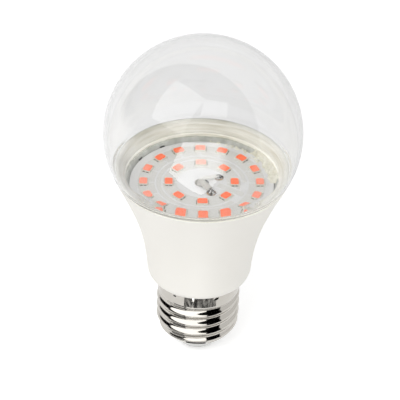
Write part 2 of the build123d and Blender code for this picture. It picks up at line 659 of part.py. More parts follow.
def make_capacitor_leads():
    y = -(DRIVER_FACE + CAPACITOR_SEAT + CAPACITOR_RADIUS)
    leads = []
    for side in (-1, 1):
        x = side * CAPACITOR_LEAD_PITCH / 2
        low_z = CAPACITOR_BOTTOM_Z - LEAD_DROP
        points = [(x, y, CAPACITOR_BOTTOM_Z), (x, y, low_z), (x, -DRIVER_FACE, low_z)]
        leads.append(round_rod(points, LEAD_RADIUS, LEAD_BEND))
    return leads


def choke_disc(radius, near, far):
    """A disc standing off the driver board's front face, between two distances from it."""
    disc = Cylinder(radius, far - near, align=STANDING)
    return Pos(0, -(DRIVER_FACE + near), CHOKE_Z) * Rot(90, 0, 0) * disc


def make_choke_core():
    core = choke_disc(CHOKE_RADIUS, 0, CHOKE_FLANGE)
    core += choke_disc(CHOKE_SPINDLE_RADIUS, 0, CHOKE_HEIGHT)
    return core + choke_disc(CHOKE_RADIUS, CHOKE_HEIGHT - CHOKE_FLANGE, CHOKE_HEIGHT)


def make_choke_winding():
    wound = choke_disc(CHOKE_WINDING_RADIUS, CHOKE_FLANGE, CHOKE_HEIGHT - CHOKE_FLANGE)
    return wound - choke_disc(CHOKE_SPINDLE_RADIUS, 0, CHOKE_HEIGHT)


def block_on_board(size, x, z, side, edge=0.0):
    """A block seated on a face of the driver board; side is -1 for the front, 1 for the back."""
    block = Box(*size)
    if edge:
        block = fillet(block.edges().filter_by(Axis.Y), edge)
    return Pos(x, side * (DRIVER_FACE + size[1] / 2), z) * block


def pins_beside(size, z, per_side):
    """Short flat pins above and below a block on the back of the driver board."""
    pins = []
    pitch = size[0] / per_side
    for row in (-1, 1):
        for i in range(per_side):
            x = (i - (per_side - 1) / 2) * pitch
            pin_z = z + row * (size[2] + PIN_REACH) / 2
            pins.append(block_on_board((PIN_WIDTH, PIN_THICKNESS, PIN_REACH), x, pin_z, 1))
    return pins


def make_resistor():
    """A wire-ended resistor beside the capacitor, with both leads bent to the board."""
    y = -(DRIVER_FACE + RESISTOR_SEAT + RESISTOR_RADIUS)
    middle_z = DRIVER_BOTTOM_Z + RESISTOR_RISE
    bottom_z = middle_z - RESISTOR_LENGTH / 2
    body = Pos(RESISTOR_X, y, 0) * slab(bottom_z, bottom_z + RESISTOR_LENGTH, RESISTOR_RADIUS)
    for end in (-1, 1):
        end_z = middle_z + end * RESISTOR_LENGTH / 2
        out_z = end_z + end * RESISTOR_LEAD_REACH
        points = [(RESISTOR_X, y, end_z), (RESISTOR_X, y, out_z), (RESISTOR_X, -DRIVER_FACE, out_z)]
        body += round_rod(points, LEAD_RADIUS, LEAD_BEND)
    return body


def make_film_capacitor():
    return block_on_board(FILM_CAPACITOR_SIZE, 0, FILM_CAPACITOR_Z, -1, FILM_CAPACITOR_EDGE)


def make_chip_resistors():
    parts = []
    for side in (-1, 1):
        for row in range(CHIP_RESISTOR_ROWS):
            z = DRIVER_BOTTOM_Z + CHIP_RESISTOR_RISE + CHIP_RESISTOR_PITCH * row
            parts.append(block_on_board(CHIP_RESISTOR_SIZE, side * CHIP_RESISTOR_X, z, 1))
    return parts


def cap_lead_start(x):
    """The upper end of a lead to the cap, laid on the back of the driver board."""
    y = DRIVER_FACE + CAP_LEAD_RADIUS + CAP_LEAD_GAP
    return [(x, y, DRIVER_BOTTOM_Z + CAP_LEAD_OVERLAP_Z), (x, y, DRIVER_BOTTOM_Z - CAP_LEAD_OVERLAP_Z / 2)]


def make_live_lead():
    stem_top_z = INSULATOR_TOP_Z + STEM_STAND
    middle_z = (stem_top_z + DRIVER_BOTTOM_Z - CAP_LEAD_OVERLAP_Z / 2) / 2
    points = cap_lead_start(LIVE_LEAD_X) + [(0, 0, middle_z), (0, 0, stem_top_z)]
    return round_rod(points, CAP_LEAD_RADIUS, CAP_LEAD_BEND)


def make_neutral_lead():
    """A lead that turns out under the neck and stops at the inside of the shell."""
    z = NECK_BOTTOM_Z - NEUTRAL_LEAD_DROP
    top = cap_lead_start(NEUTRAL_LEAD_X)[0]
    heights = [z - CAP_LEAD_RADIUS, z, z + CAP_LEAD_RADIUS]
    inside = min(shell_radius(pi, height) for height in heights) - SHELL_WALL - CAP_LEAD_GAP
    end_x = -sqrt(inside**2 - (top[1] + CAP_LEAD_RADIUS) ** 2)
    return round_rod([top, (top[0], top[1], z), (end_x, top[1], z)], CAP_LEAD_RADIUS, CAP_LEAD_BEND)


def make_parts():
    """Every node's name with its solid, or with a list of separate solids."""
    parts = {}
    globe, housing, cup = make_globe(), make_housing(), make_cup()
    parts["globe"] = globe
    parts["adhesive_bead"] = make_adhesive(globe, housing, cup)
    parts["housing"] = housing
    parts["heat_sink_cup"] = cup
    parts["thermal_paste"] = make_paste()
    parts["led_board"] = make_board()
    parts["board_tracks"] = make_tracks()
    windows, tabs = {}, {}
    for name, number, place in led_places():
        parts[f"{name}_{number:02d}"] = place * led_body()
        windows.setdefault(name, []).append(place * led_window())
        tabs.setdefault(name, []).extend(place * tab for tab in led_tabs())
    for name in windows:
        parts[f"{name}_phosphors"] = windows[name]
        parts[f"{name}_terminals"] = tabs[name]
    positive_pad = pad_place(POSITIVE_PAD_AZIMUTH)
    negative_pad = pad_place(NEGATIVE_PAD_AZIMUTH)
    parts["positive_solder"] = solder_dome(positive_pad)
    parts["negative_solder"] = solder_dome(negative_pad)
    parts["positive_wire"] = lamp_wire(positive_pad, 1, POSITIVE_WIRE_DIAMETER, parts["positive_solder"])
    parts["negative_wire"] = lamp_wire(negative_pad, -1, NEGATIVE_WIRE_DIAMETER, parts["negative_solder"])
    parts["driver_board"] = make_driver_board()
    parts["electrolytic_capacitor"] = make_capacitor()
    parts["capacitor_leads"] = make_capacitor_leads()
    parts["choke_core"] = make_choke_core()
    parts["choke_winding"] = make_choke_winding()
    parts["film_capacitor"] = make_film_capacitor()
    parts["fusible_resistor"] = make_resistor()
    bridge_z = DRIVER_BOTTOM_Z + BRIDGE_RISE
    chip_z = DRIVER_BOTTOM_Z + CHIP_RISE
    parts["bridge_rectifier"] = block_on_board(BRIDGE_SIZE, 0, bridge_z, 1)
    parts["bridge_leads"] = pins_beside(BRIDGE_SIZE, bridge_z, BRIDGE_LEADS_PER_SIDE)
    parts["driver_chip"] = block_on_board(CHIP_SIZE, 0, chip_z, 1)
    parts["chip_leads"] = pins_beside(CHIP_SIZE, chip_z, CHIP_LEADS_PER_SIDE)
    parts["chip_resistors"] = make_chip_resistors()
    parts["live_lead"] = make_live_lead()
    parts["neutral_lead"] = make_neutral_lead()
    parts["screw_shell"] = make_screw_shell()
    parts["cap_insulator"] = make_insulator()
    parts["centre_contact"] = make_contact()
    return parts


os.makedirs("parts", exist_ok=True)
for node, shape in make_parts().items():
    solids = shape if isinstance(shape, list) else shape.solids()
    export_step(solids[0] if len(solids) == 1 else Compound(solids), f"parts/{node}.step")
    print(node, len(solids), round(sum(solid.volume for solid in solids), 2))
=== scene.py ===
# %% [markdown]
# # A grow light bulb with a clear globe
#
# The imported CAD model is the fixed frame. Everything below dresses it: a smooth spun globe and
# screw shell, lamps with pockets and metal ends, lumpy sealant, bent wires and solder, and a
# procedural finish for every piece. Sizes are written in millimetres and turned into metres.

import random
from math import asin, atan2, cos, degrees, exp, hypot, pi, radians, sin

import bmesh
import bpy
from mathutils import Matrix, Vector, noise


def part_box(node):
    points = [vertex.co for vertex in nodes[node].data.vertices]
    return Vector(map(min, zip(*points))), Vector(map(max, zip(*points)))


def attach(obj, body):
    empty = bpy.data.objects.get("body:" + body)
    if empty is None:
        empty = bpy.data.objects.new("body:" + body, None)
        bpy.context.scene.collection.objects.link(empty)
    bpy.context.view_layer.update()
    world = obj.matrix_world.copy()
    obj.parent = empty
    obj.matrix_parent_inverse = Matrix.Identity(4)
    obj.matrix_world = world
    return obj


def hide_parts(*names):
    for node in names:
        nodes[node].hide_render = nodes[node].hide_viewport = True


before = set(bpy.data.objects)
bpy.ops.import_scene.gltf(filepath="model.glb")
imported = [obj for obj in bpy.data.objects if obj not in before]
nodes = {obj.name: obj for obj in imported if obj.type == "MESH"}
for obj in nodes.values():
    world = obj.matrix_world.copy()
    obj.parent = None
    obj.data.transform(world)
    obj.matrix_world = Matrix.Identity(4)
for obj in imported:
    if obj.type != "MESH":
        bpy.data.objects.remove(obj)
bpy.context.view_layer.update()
MM = 0.001

# %% [markdown]
# The camera stands in front of the bulb and looks down on it through a long lens. Its place was
# worked out from the photograph's outlines, so a size measured here lands on the same spot there.

# %% Camera
CAMERA_PLACE = Vector((-0.35, -450.34, 386.56)) * MM
CAMERA_TARGET = Vector((-0.35, 0.0, 55.40)) * MM
CAMERA_ROLL = radians(1.82)
CAMERA_LENS = 163.92
CAMERA_SENSOR = 36.0
CAMERA_CLIP = (0.01, 20.0)

camera = bpy.data.objects.new("camera", bpy.data.cameras.new("camera"))
bpy.context.scene.collection.objects.link(camera)
camera.data.sensor_width = CAMERA_SENSOR
camera.data.lens = CAMERA_LENS
camera.data.clip_start, camera.data.clip_end = CAMERA_CLIP
camera.location = CAMERA_PLACE
aim = (CAMERA_TARGET - CAMERA_PLACE).to_track_quat("-Z", "Y").to_matrix()
camera.rotation_euler = (aim @ Matrix.Rotation(CAMERA_ROLL, 3, "Z")).to_euler()
bpy.context.scene.camera = camera
print("camera distance in mm:", round((CAMERA_TARGET - CAMERA_PLACE).length / MM, 1))

# %% [markdown]
# Small helpers come first. One turns a display colour into the linear colour that a shader
# wants, some make objects from a bmesh, and one spins an outline into a turned shape, which
# is how a globe is blown and how a shell is rolled: round an axis.

# %% Helpers for meshes
MERGE_REACH = 0.0005 * MM
finishes = {}


def display(red, green, blue):
    """A colour as it is seen on a screen, 0 to 255, as a linear colour with alpha."""
    linear = []
    for value in (red, green, blue):
        part = value / 255
        linear.append(part / 12.92 if part <= 0.04045 else ((part + 0.055) / 1.055) ** 2.4)
    return (*linear, 1.0)


def new_object(name, bm):
    """Writes a bmesh to a new object in the scene."""
    mesh = bpy.data.meshes.new(name)
    bm.to_mesh(mesh)
    bm.free()
    made = bpy.data.objects.new(name, mesh)
    bpy.context.scene.collection.objects.link(made)
    return made


def wear(piece, material):
    """Puts one material on a piece, in place of any that it has."""
    piece.data.materials.clear()
    piece.data.materials.append(material)


def make_piece(name, bm, slot, *stood_for, finish=None, smooth=True):
    """A piece that rides on the bulb, stands for CAD nodes and wears a finish, else its slot's."""
    piece = new_object(name, bm)
    piece.data.polygons.foreach_set("use_smooth", [smooth] * len(piece.data.polygons))
    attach(piece, "root")
    if stood_for:
        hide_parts(*stood_for)
    wear(piece, finishes[finish or slot])
    return piece


def clean_up(bm):
    """Merges doubled points and turns every face outwards."""
    bmesh.ops.remove_doubles(bm, verts=bm.verts, dist=MERGE_REACH)
    bmesh.ops.recalc_face_normals(bm, faces=bm.faces)


def spin_outline(bm, points, steps, closed=False):
    """Turns a chain of (radius, height) points in mm all the way round the axis."""
    chain = [bm.verts.new((radius * MM, 0.0, height * MM)) for radius, height in points]
    edges = [bm.edges.new(pair) for pair in zip(chain, chain[1:])]
    if closed:
        edges.append(bm.edges.new((chain[-1], chain[0])))
    bmesh.ops.spin(bm, geom=chain + edges, cent=(0, 0, 0), axis=(0, 0, 1), angle=2 * pi,
                   steps=steps, use_merge=True)


def turned(radius, azimuth, height):
    """The place at a radius and a height in mm, turned round the axis."""
    return Vector((radius * cos(azimuth), radius * sin(azimuth), height)) * MM


def push_out(vert, shift):
    """Moves a point away from the axis by a shift in mm."""
    radius = hypot(vert.co.x, vert.co.y) / MM
    vert.co.x *= 1 + shift / radius
    vert.co.y *= 1 + shift / radius


def bezier(points, count):
    """Points along a cubic curve, without its first point."""
    a, b, c, d = (Vector(point) for point in points)
    curve = []
    for i in range(1, count + 1):
        t = i / count
        s = 1 - t
        curve.append(s**3 * a + 3 * s * s * t * b + 3 * s * t * t * c + t**3 * d)
    return [tuple(point) for point in curve]


def ease(value):
    """A smooth step from 0 to 1."""
    part = min(max(value, 0.0), 1.0)
    return part * part * (3 - 2 * part)


print("pieces merge points closer than", MERGE_REACH / MM, "mm")

# %% [markdown]
# Each shader is a handful of plain nodes. These helpers add one and fill its inputs, move a value
# from one range to another, calculate, and mix colours or whole shaders.


# %% Helpers for shaders
def feed(tree, node, feeds):
    """Fills inputs of a node, each with a plain value or from the socket of another node."""
    for name, value in feeds.items():
        if isinstance(value, bpy.types.NodeSocket):
            tree.links.new(value, node.inputs[name])
        else:
            node.inputs[name].default_value = value


def add_node(tree, kind, feeds=None, **settings):
    """Adds a node with its settings and fills its inputs."""
    node = tree.nodes.new(kind)
    for name, value in settings.items():
        setattr(node, name, value)
    feed(tree, node, feeds or {})
    return node


def calculate(tree, operation, *terms, clamp=False):
    """The result of one Math node."""
    feeds = dict(enumerate(terms))
    return add_node(tree, "ShaderNodeMath", feeds, operation=operation, use_clamp=clamp).outputs[0]


def ramp(tree, value, start, end, low=0.0, high=1.0, smooth=False):
    """Goes from low to high while a value goes from start to end, and no further."""
    feeds = {"Value": value, "From Min": start, "From Max": end, "To Min": low, "To Max": high}
    kind = "SMOOTHSTEP" if smooth else "LINEAR"
    return add_node(tree, "ShaderNodeMapRange", feeds, interpolation_type=kind).outputs["Result"]


def object_place(tree):
    """The Object coordinate."""
    return add_node(tree, "ShaderNodeTexCoord").outputs["Object"]


def axis_ramp(tree, axis, start, end, low=0.0, high=1.0, smooth=False):
    """Goes from low to high between two places in mm along an axis of the object."""
    split = add_node(tree, "ShaderNodeSeparateXYZ", {"Vector": object_place(tree)})
    return ramp(tree, split.outputs[axis], start * MM, end * MM, low, high, smooth)


def blend(tree, factor, first, second, data_type="RGBA", blend_type="MIX"):
    """The mix of two colours, or of two values, by a factor."""
    feeds = {"Factor": factor, "A": first, "B": second}
    mix = add_node(tree, "ShaderNodeMix", feeds, data_type=data_type, blend_type=blend_type)
    return mix.outputs["Result"]


def rays_of(tree):
    """The questions that a shader can ask about the ray that meets it."""
    return add_node(tree, "ShaderNodeLightPath").outputs


def show_either(tree, factor, first, second):
    """Puts the mix of two shaders, by a factor, on a material's surface."""
    mix = add_node(tree, "ShaderNodeMixShader", {"Fac": factor, 1: first, 2: second})
    feed(tree, tree.nodes["Material Output"], {"Surface": mix.outputs["Shader"]})


def new_tree(name):
    """A new material and its nodes."""
    material = bpy.data.materials.new(name)
    material.use_nodes = True
    return material, material.node_tree


# %% [markdown]
# Real plastics, metals and lacquers are never quite even. Two node groups serve every finish:
# one clouds a colour slowly over the surface, and one makes a fine grain for a bump. Each
# material places them with its own scale, so a change in the group changes all finishes.

# %% Shared node groups
CLOUD_DETAIL = 4.0
GRAIN_DETAIL = 3.0


def new_group(name, inputs, outputs):
    """A shader node group with named sockets; inputs are (name, socket type, start value)."""
    group = bpy.data.node_groups.new(name, "ShaderNodeTree")
    for socket_name, kind, value in inputs:
        socket = group.interface.new_socket(name=socket_name, in_out="INPUT", socket_type=kind)
        if value is not None:
            socket.default_value = value
    for socket_name, kind in outputs:
        group.interface.new_socket(name=socket_name, in_out="OUTPUT", socket_type=kind)
    return group, group.nodes.new("NodeGroupInput").outputs, group.nodes.new("NodeGroupOutput")


def noise_in(group, entry, detail):
    """Smooth noise at the group's own place and scale."""
    feeds = {"Vector": entry["Vector"], "Scale": entry["Scale"], "Detail": detail}
    return add_node(group, "ShaderNodeTexNoise", feeds).outputs["Fac"]


def build_clouded_colour():
    inputs = [
        ("Vector", "NodeSocketVector", None),
        ("Scale", "NodeSocketFloat", 200.0),
        ("Light", "NodeSocketColor", (1.0, 1.0, 1.0, 1.0)),
        ("Dark", "NodeSocketColor", (0.8, 0.8, 0.8, 1.0)),
        ("Contrast", "NodeSocketFloat", 1.0),
        ("Level", "NodeSocketFloat", 0.5),
    ]
    outputs = [("Color", "NodeSocketColor"), ("Mask", "NodeSocketFloat")]
    group, entry, leave = new_group("clouded_colour", inputs, outputs)
    centred = calculate(group, "SUBTRACT", noise_in(group, entry, CLOUD_DETAIL), 0.5)
    mask = calculate(group, "MULTIPLY_ADD", centred, entry["Contrast"], entry["Level"], clamp=True)
    colour = blend(group, mask, entry["Light"], entry["Dark"])
    feed(group, leave, {"Color": colour, "Mask": mask})
    return group


def build_fine_grain():
    inputs = [
        ("Vector", "NodeSocketVector", None),
        ("Scale", "NodeSocketFloat", 2500.0),
        ("Strength", "NodeSocketFloat", 0.1),
        ("Distance", "NodeSocketFloat", 0.02 * MM),
    ]
    group, entry, leave = new_group("fine_grain", inputs, [("Normal", "NodeSocketVector")])
    feeds = {"Strength": entry["Strength"], "Distance": entry["Distance"]}
    feeds["Height"] = noise_in(group, entry, GRAIN_DETAIL)
    feed(group, leave, {"Normal": add_node(group, "ShaderNodeBump", feeds).outputs["Normal"]})
    return group


CLOUDED_COLOUR = build_clouded_colour()
FINE_GRAIN = build_fine_grain()
print("node groups:", CLOUDED_COLOUR.name, FINE_GRAIN.name)

# %% [markdown]
# Every finish starts from the same short recipe: Object coordinates feed the clouded colour and
# the grain, and those feed a Principled shader. A finish may also give back a little painted light
# in its own colour. Finishes that need more add it afterwards.


# %% The recipe for a finish
def new_finish(name, light, dark, roughness, cloud=(150.0, 1.5), grain=(2500.0, 0.1, 0.02), level=0.5,
               metallic=0.0, rough_spread=0.1, glow=0.0):
    """A material whose colour clouds between two tones, with a fine grain in its surface.

    The cloud is a scale and a contrast; the grain is a scale, a strength and a depth in mm.
    """
    finishes[name], tree = new_tree(name)
    place = object_place(tree)
    feeds = {"Vector": place, "Scale": cloud[0], "Contrast": cloud[1], "Level": level}
    feeds |= {"Light": display(*light), "Dark": display(*dark)}
    clouded = add_node(tree, "ShaderNodeGroup", feeds, node_tree=CLOUDED_COLOUR, name="cloud").outputs
    rough = ramp(tree, clouded["Mask"], 0, 1, roughness * (1 - rough_spread), roughness * (1 + rough_spread))
    looks = {"Base Color": clouded["Color"], "Roughness": rough, "Metallic": metallic}
    if grain:
        feeds = {"Vector": place, "Scale": grain[0], "Strength": grain[1], "Distance": grain[2] * MM}
        surface = add_node(tree, "ShaderNodeGroup", feeds, node_tree=FINE_GRAIN)
        looks["Normal"] = surface.outputs["Normal"]
    # The painted glow is painted light: the surface gives back light in its own colour.
    if glow:
        looks |= {"Emission Color": clouded["Color"], "Emission Strength": glow}
    feed(tree, tree.nodes["Principled BSDF"], looks)
    return tree


# %% [markdown]
# The globe is clear moulded plastic with a faint grey tint. Its shader is glass: full
# transmission and no roughness. A ray that only asks for shadow passes straight through, so
# the lamps light the board inside without waiting for rays to bend their way in. Above the neck
# the wall is seen along its length near the outline, and a grey tint there stands for that.

# %% Finish of the globe
GLOBE_TINTS = ((246, 246, 246), (244, 244, 244))
GLOBE_RIM_TINT = (236, 236, 236)
GLOBE_RIM_START = 0.45
GLOBE_SHADOW_TINT = (253, 253, 253)
GLOBE_INDEX = 1.5
NECK_FADE = (69.0, 77.0)


def make_clear_globe():
    tree = new_finish("clear_globe", *GLOBE_TINTS, 0.0, cloud=(60.0, 1.5), grain=None)
    edge = add_node(tree, "ShaderNodeLayerWeight").outputs["Facing"]
    rim = ramp(tree, edge, GLOBE_RIM_START, 1.0, smooth=True)
    share = calculate(tree, "MULTIPLY", axis_ramp(tree, "Z", *NECK_FADE), rim)
    colour = tree.nodes["cloud"].outputs["Color"]
    tint = blend(tree, share, colour, display(*GLOBE_RIM_TINT), blend_type="MULTIPLY")
    shader = tree.nodes["Principled BSDF"]
    feed(tree, shader, {"Base Color": tint, "Transmission Weight": 1.0, "IOR": GLOBE_INDEX})
    through = add_node(tree, "ShaderNodeBsdfTransparent", {"Color": display(*GLOBE_SHADOW_TINT)})
    show_either(tree, rays_of(tree)["Is Shadow Ray"], shader.outputs["BSDF"], through.outputs["BSDF"])


make_clear_globe()
print("the globe's tint starts at", NECK_FADE[0], "mm")

# %% [markdown]
# The housing is off-white moulded plastic with the satin skin of an eroded mould. The sealant is
# cream and a little glossy, and a little painted light in its own colour brightens it.

# %% Finishes of the housing and the sealant
new_finish("white_housing", (241, 239, 233), (237, 234, 227), 0.5,
           cloud=(45.0, 1.2), grain=(5200.0, 0.12, 0.012))
# Its glow is painted light.
new_finish("sealant", (243, 241, 228), (216, 212, 190), 0.32, glow=0.1,
           cloud=(420.0, 2.6), grain=(1500.0, 0.35, 0.06))
print("finishes so far:", len(finishes))

# %% [markdown]
# Inside the rim the sealant was pressed flat by the globe's collar as it was pushed in and
# turned. That left fine rings in it, so the bead gets a finish with noise drawn out round the
# axis: its coordinate is squeezed in height. On the real bead the light rises towards the right
# and the back left, so painted light, a glow of its own, rises there too.

# %% Finish of the pressed sealant
BEAD_SQUEEZE = (60.0, 60.0, 1400.0)
BEAD_PAINTED_LIGHT = (0.1, 0.32)
BEAD_PAINTED_LIGHT_REACH = 24.0
BACK_LEFT = (-0.64, 0.77, 0.0)
BACK_LEFT_REACH = (16.8, 23.0)
BACK_LEFT_PAINTED_LIGHT = 0.13


def make_pressed_sealant():
    tree = new_finish("pressed_sealant", (253, 252, 244), (216, 212, 194), 0.3, level=0.35, glow=1.0,
                      cloud=(1.0, 3.0))
    place = object_place(tree)
    squeeze = add_node(tree, "ShaderNodeMapping", {"Vector": place, "Scale": BEAD_SQUEEZE})
    feed(tree, tree.nodes["cloud"], {"Vector": squeeze.outputs["Vector"]})
    # Painted light: the glow rises across to the right and towards the back left.
    across = axis_ramp(tree, "X", -BEAD_PAINTED_LIGHT_REACH, BEAD_PAINTED_LIGHT_REACH, *BEAD_PAINTED_LIGHT)
    along = add_node(tree, "ShaderNodeVectorMath", {0: place, 1: BACK_LEFT}, operation="DOT_PRODUCT")
    start, end = (reach * MM for reach in BACK_LEFT_REACH)
    back_left_painted_light = ramp(tree, along.outputs["Value"], start, end, 0.0, BACK_LEFT_PAINTED_LIGHT, smooth=True)
    strength = calculate(tree, "ADD", across, back_left_painted_light)
    feed(tree, tree.nodes["Principled BSDF"], {"Emission Strength": strength})


make_pressed_sealant()
print("glow of the bead from left to right:", BEAD_PAINTED_LIGHT)

# %% [markdown]
# The board's white lacquer is screen-printed over the whole plate. It is a shade greyer over the
# copper tracks, because the metal below takes some light. The metal parts are raw aluminium
# with fine turning lines, and dull tin on the lamps' ends.

# %% Finishes of the lamp board and its metal
new_finish("board_lacquer", (240, 240, 239), (233, 233, 232), 0.28,
           cloud=(130.0, 1.4), grain=(3000.0, 0.08, 0.01))
new_finish("lacquered_track", (233, 232, 227), (225, 224, 219), 0.26,
           cloud=(170.0, 1.5), grain=(3000.0, 0.1, 0.01))
new_finish("cup_aluminium", (232, 233, 228), (196, 198, 190), 0.45, metallic=0.45,
           cloud=(420.0, 2.6), grain=(1800.0, 0.2, 0.02))
# The hole's wall: bare metal, its tone darkened a little as painted shade.
new_finish("bare_edge_and_shade", (196, 191, 180), (160, 155, 144), 0.4, metallic=0.3,
           cloud=(700.0, 1.8), grain=(1800.0, 0.2, 0.02))
# The passage's dark colour is painted shade.
new_finish("passage", (84, 83, 74), (58, 57, 50), 0.7, cloud=(500.0, 1.5))
new_finish("paste", (226, 226, 222), (205, 205, 200), 0.6, cloud=(500.0, 1.5))
new_finish("tinned_lead", (176, 168, 150), (86, 76, 58), 0.34, metallic=0.8,
           cloud=(900.0, 2.2), grain=(2600.0, 0.3, 0.03))
print("finishes so far:", len(finishes))

# %% [markdown]
# A lamp is a white moulded frame round a pocket of silicone. The phosphor in the silicone gives
# the orange-pink colour: it is a dense suspension, so its colour is speckled and a little soft.
# The photograph shows it paler at the back of the board and at the sides of the outer ring, and
# much paler where the globe's wall mirrors it, so the finish is mixed with a pale tone there. The
# pale tone in the mirror is a painted reflection, and the window's glow is painted light.

# %% Finishes of the lamps
PALE_WINDOW = (236, 214, 204)
PATCH_PLACE = (-1.0, 11.5, 63.2)
PATCH_REACH = (10.0, 2.5)
PATCH_SHARE = 0.5
OUTER_PALE_STRETCH = (1.0, 0.5, 0.0)
OUTER_PALE_CENTRE = (0.0, 3.5, 0.0)
OUTER_PALE_REACH = (14.5, 17.5)
OUTER_PALE_SHARE = 0.2


def share_by_distance(tree, place, centre, reach, share):
    """Rises to a share while the distance from a centre in mm goes through a reach."""
    feeds = {0: place, 1: Vector(centre) * MM}
    away = add_node(tree, "ShaderNodeVectorMath", feeds, operation="DISTANCE")
    return ramp(tree, away.outputs["Value"], reach[0] * MM, reach[1] * MM, 0.0, share)


def make_windows():
    tree = new_finish("led_window", (253, 114, 50), (253, 94, 32), 0.36, glow=0.3,
                      cloud=(1900.0, 2.4), grain=(5200.0, 0.25, 0.02))
    place = object_place(tree)
    patch = share_by_distance(tree, place, PATCH_PLACE, PATCH_REACH, PATCH_SHARE)
    feeds = {0: place, 1: OUTER_PALE_STRETCH}
    flat = add_node(tree, "ShaderNodeVectorMath", feeds, operation="MULTIPLY").outputs["Vector"]
    outer = share_by_distance(tree, flat, OUTER_PALE_CENTRE, OUTER_PALE_REACH, OUTER_PALE_SHARE)
    share = calculate(tree, "MAXIMUM", patch, outer)
    colour = blend(tree, share, tree.nodes["cloud"].outputs["Color"], display(*PALE_WINDOW))
    # Rays that mirror the window see a pale tone: a painted reflection.
    rays = rays_of(tree)
    mirrored = calculate(tree, "SUBTRACT", rays["Is Singular Ray"], rays["Is Transmission Ray"], clamp=True)
    colour = blend(tree, mirrored, colour, display(*PALE_WINDOW))
    feed(tree, tree.nodes["Principled BSDF"], {"Base Color": colour, "Emission Color": colour})


new_finish("led_frame", (243, 239, 228), (229, 224, 210), 0.4,
           cloud=(900.0, 1.4), grain=(4200.0, 0.12, 0.01))
make_windows()
print("finishes so far:", len(finishes))

# %% [markdown]
# Wires have a matt silicone sleeve. Solder is bright tin with dull patches and dark flux round
# its foot: a second cloud darkens it towards brown. Its rim is darker still: a painted dark
# reflection of what stands round the joint.

# %% Finishes of the wires and the solder
SOLDER_PAINTED_REFLECTION_RIM = (0.22, 0.5)
SOLDER_PAINTED_REFLECTION_RIM_COLOUR = (34, 26, 16)
SOLDER_METAL = (0.85, 0.3)
SOLDER_SHEEN = 0.15


def make_solder():
    tree = new_finish("solder", (252, 251, 247), (48, 38, 24), 0.22, level=0.35,
                      cloud=(1500.0, 9.0), grain=(1600.0, 0.6, 0.1))
    cloud = tree.nodes["cloud"].outputs
    # The darker rim is a painted reflection of the dark surroundings.
    rim = ramp(tree, add_node(tree, "ShaderNodeLayerWeight").outputs["Facing"], *SOLDER_PAINTED_REFLECTION_RIM)
    feed(tree, tree.nodes["Principled BSDF"], {
        "Base Color": blend(tree, rim, cloud["Color"], display(*SOLDER_PAINTED_REFLECTION_RIM_COLOUR)),
        "Metallic": ramp(tree, cloud["Mask"], 0, 1, *SOLDER_METAL),
        "Specular IOR Level": SOLDER_SHEEN,
    })


new_finish("wire_sleeve", (236, 235, 230), (218, 216, 209), 0.45,
           cloud=(350.0, 1.6), grain=(2600.0, 0.1, 0.02))
# The second sleeve is white like the first; its greyer tone is painted shade.
new_finish("wire_sleeve_painted_shade", (184, 180, 171), (166, 162, 153), 0.5,
           cloud=(350.0, 1.6), grain=(2600.0, 0.1, 0.02))
make_solder()
new_finish("burnt_flux", (196, 150, 96), (92, 62, 34), 0.2,
           cloud=(900.0, 4.0), grain=(1500.0, 0.3, 0.05))
print("finishes so far:", len(finishes))

# %% [markdown]
# The cap is polished nickel on rolled brass or iron. It is nearly a mirror, so its look comes
# from what stands round it; the finish only adds faint smears of roughness and a trace of
# warmth. Below it sits a pale insulator.

# %% Finishes of the cap
new_finish("nickel_cap", (190, 187, 181), (179, 175, 168), 0.09, metallic=1.0, rough_spread=0.5,
           cloud=(120.0, 1.5), grain=(900.0, 0.04, 0.02))
new_finish("pale_insulator", (226, 226, 224), (210, 210, 207), 0.35,
           cloud=(200.0, 1.5), grain=(1600.0, 0.15, 0.03))
print("finishes so far:", len(finishes))

# %% [markdown]
# The parts of the driver stay inside the housing and are seen only if the model is cut open.
# They still get their own finishes: green laminate, a dark sleeve, ferrite, enamelled wire.

# %% Finishes of the driver
INNER_FINISHES = {
    "circuit_board": ((58, 112, 66), (44, 92, 54), 0.4, 0.0),
    "capacitor_sleeve": ((38, 40, 46), (24, 26, 32), 0.32, 0.0),
    "ferrite": ((62, 60, 60), (44, 42, 42), 0.6, 0.0),
    "enamelled_copper": ((186, 104, 52), (142, 72, 34), 0.3, 0.9),
    "capacitor_case": ((196, 158, 62), (172, 134, 44), 0.45, 0.0),
    "resistor_body": ((92, 140, 128), (70, 112, 104), 0.5, 0.0),
    "chip_case": ((36, 36, 38), (26, 26, 28), 0.5, 0.0),
}
for name, (light, dark, roughness, metallic) in INNER_FINISHES.items():
    new_finish(name, light, dark, roughness, metallic=metallic,
               cloud=(600.0, 1.5), grain=(2500.0, 0.15, 0.02))
for node in nodes.values():
    wear(node, finishes[node.material_slots[0].material.name])
print("finishes:", len(finishes), "on", len(nodes), "CAD nodes")

# %% [markdown]
# The globe is one turned wall. Outside it is a plain ball. Inside, the wall thickens into a root
# above the seam and goes on down as a collar inside the housing's rim. That root is a strong
# lens: it bends the picture of the front lamps, so it has to be real thickness in the mesh,
# and the whole outline is spun as one closed loop. In front, the neck swells inwards a little
# more, and all round its inside has the faint waves that moulding leaves. Both are given to the
# points of the inner wall one by one after the spin.

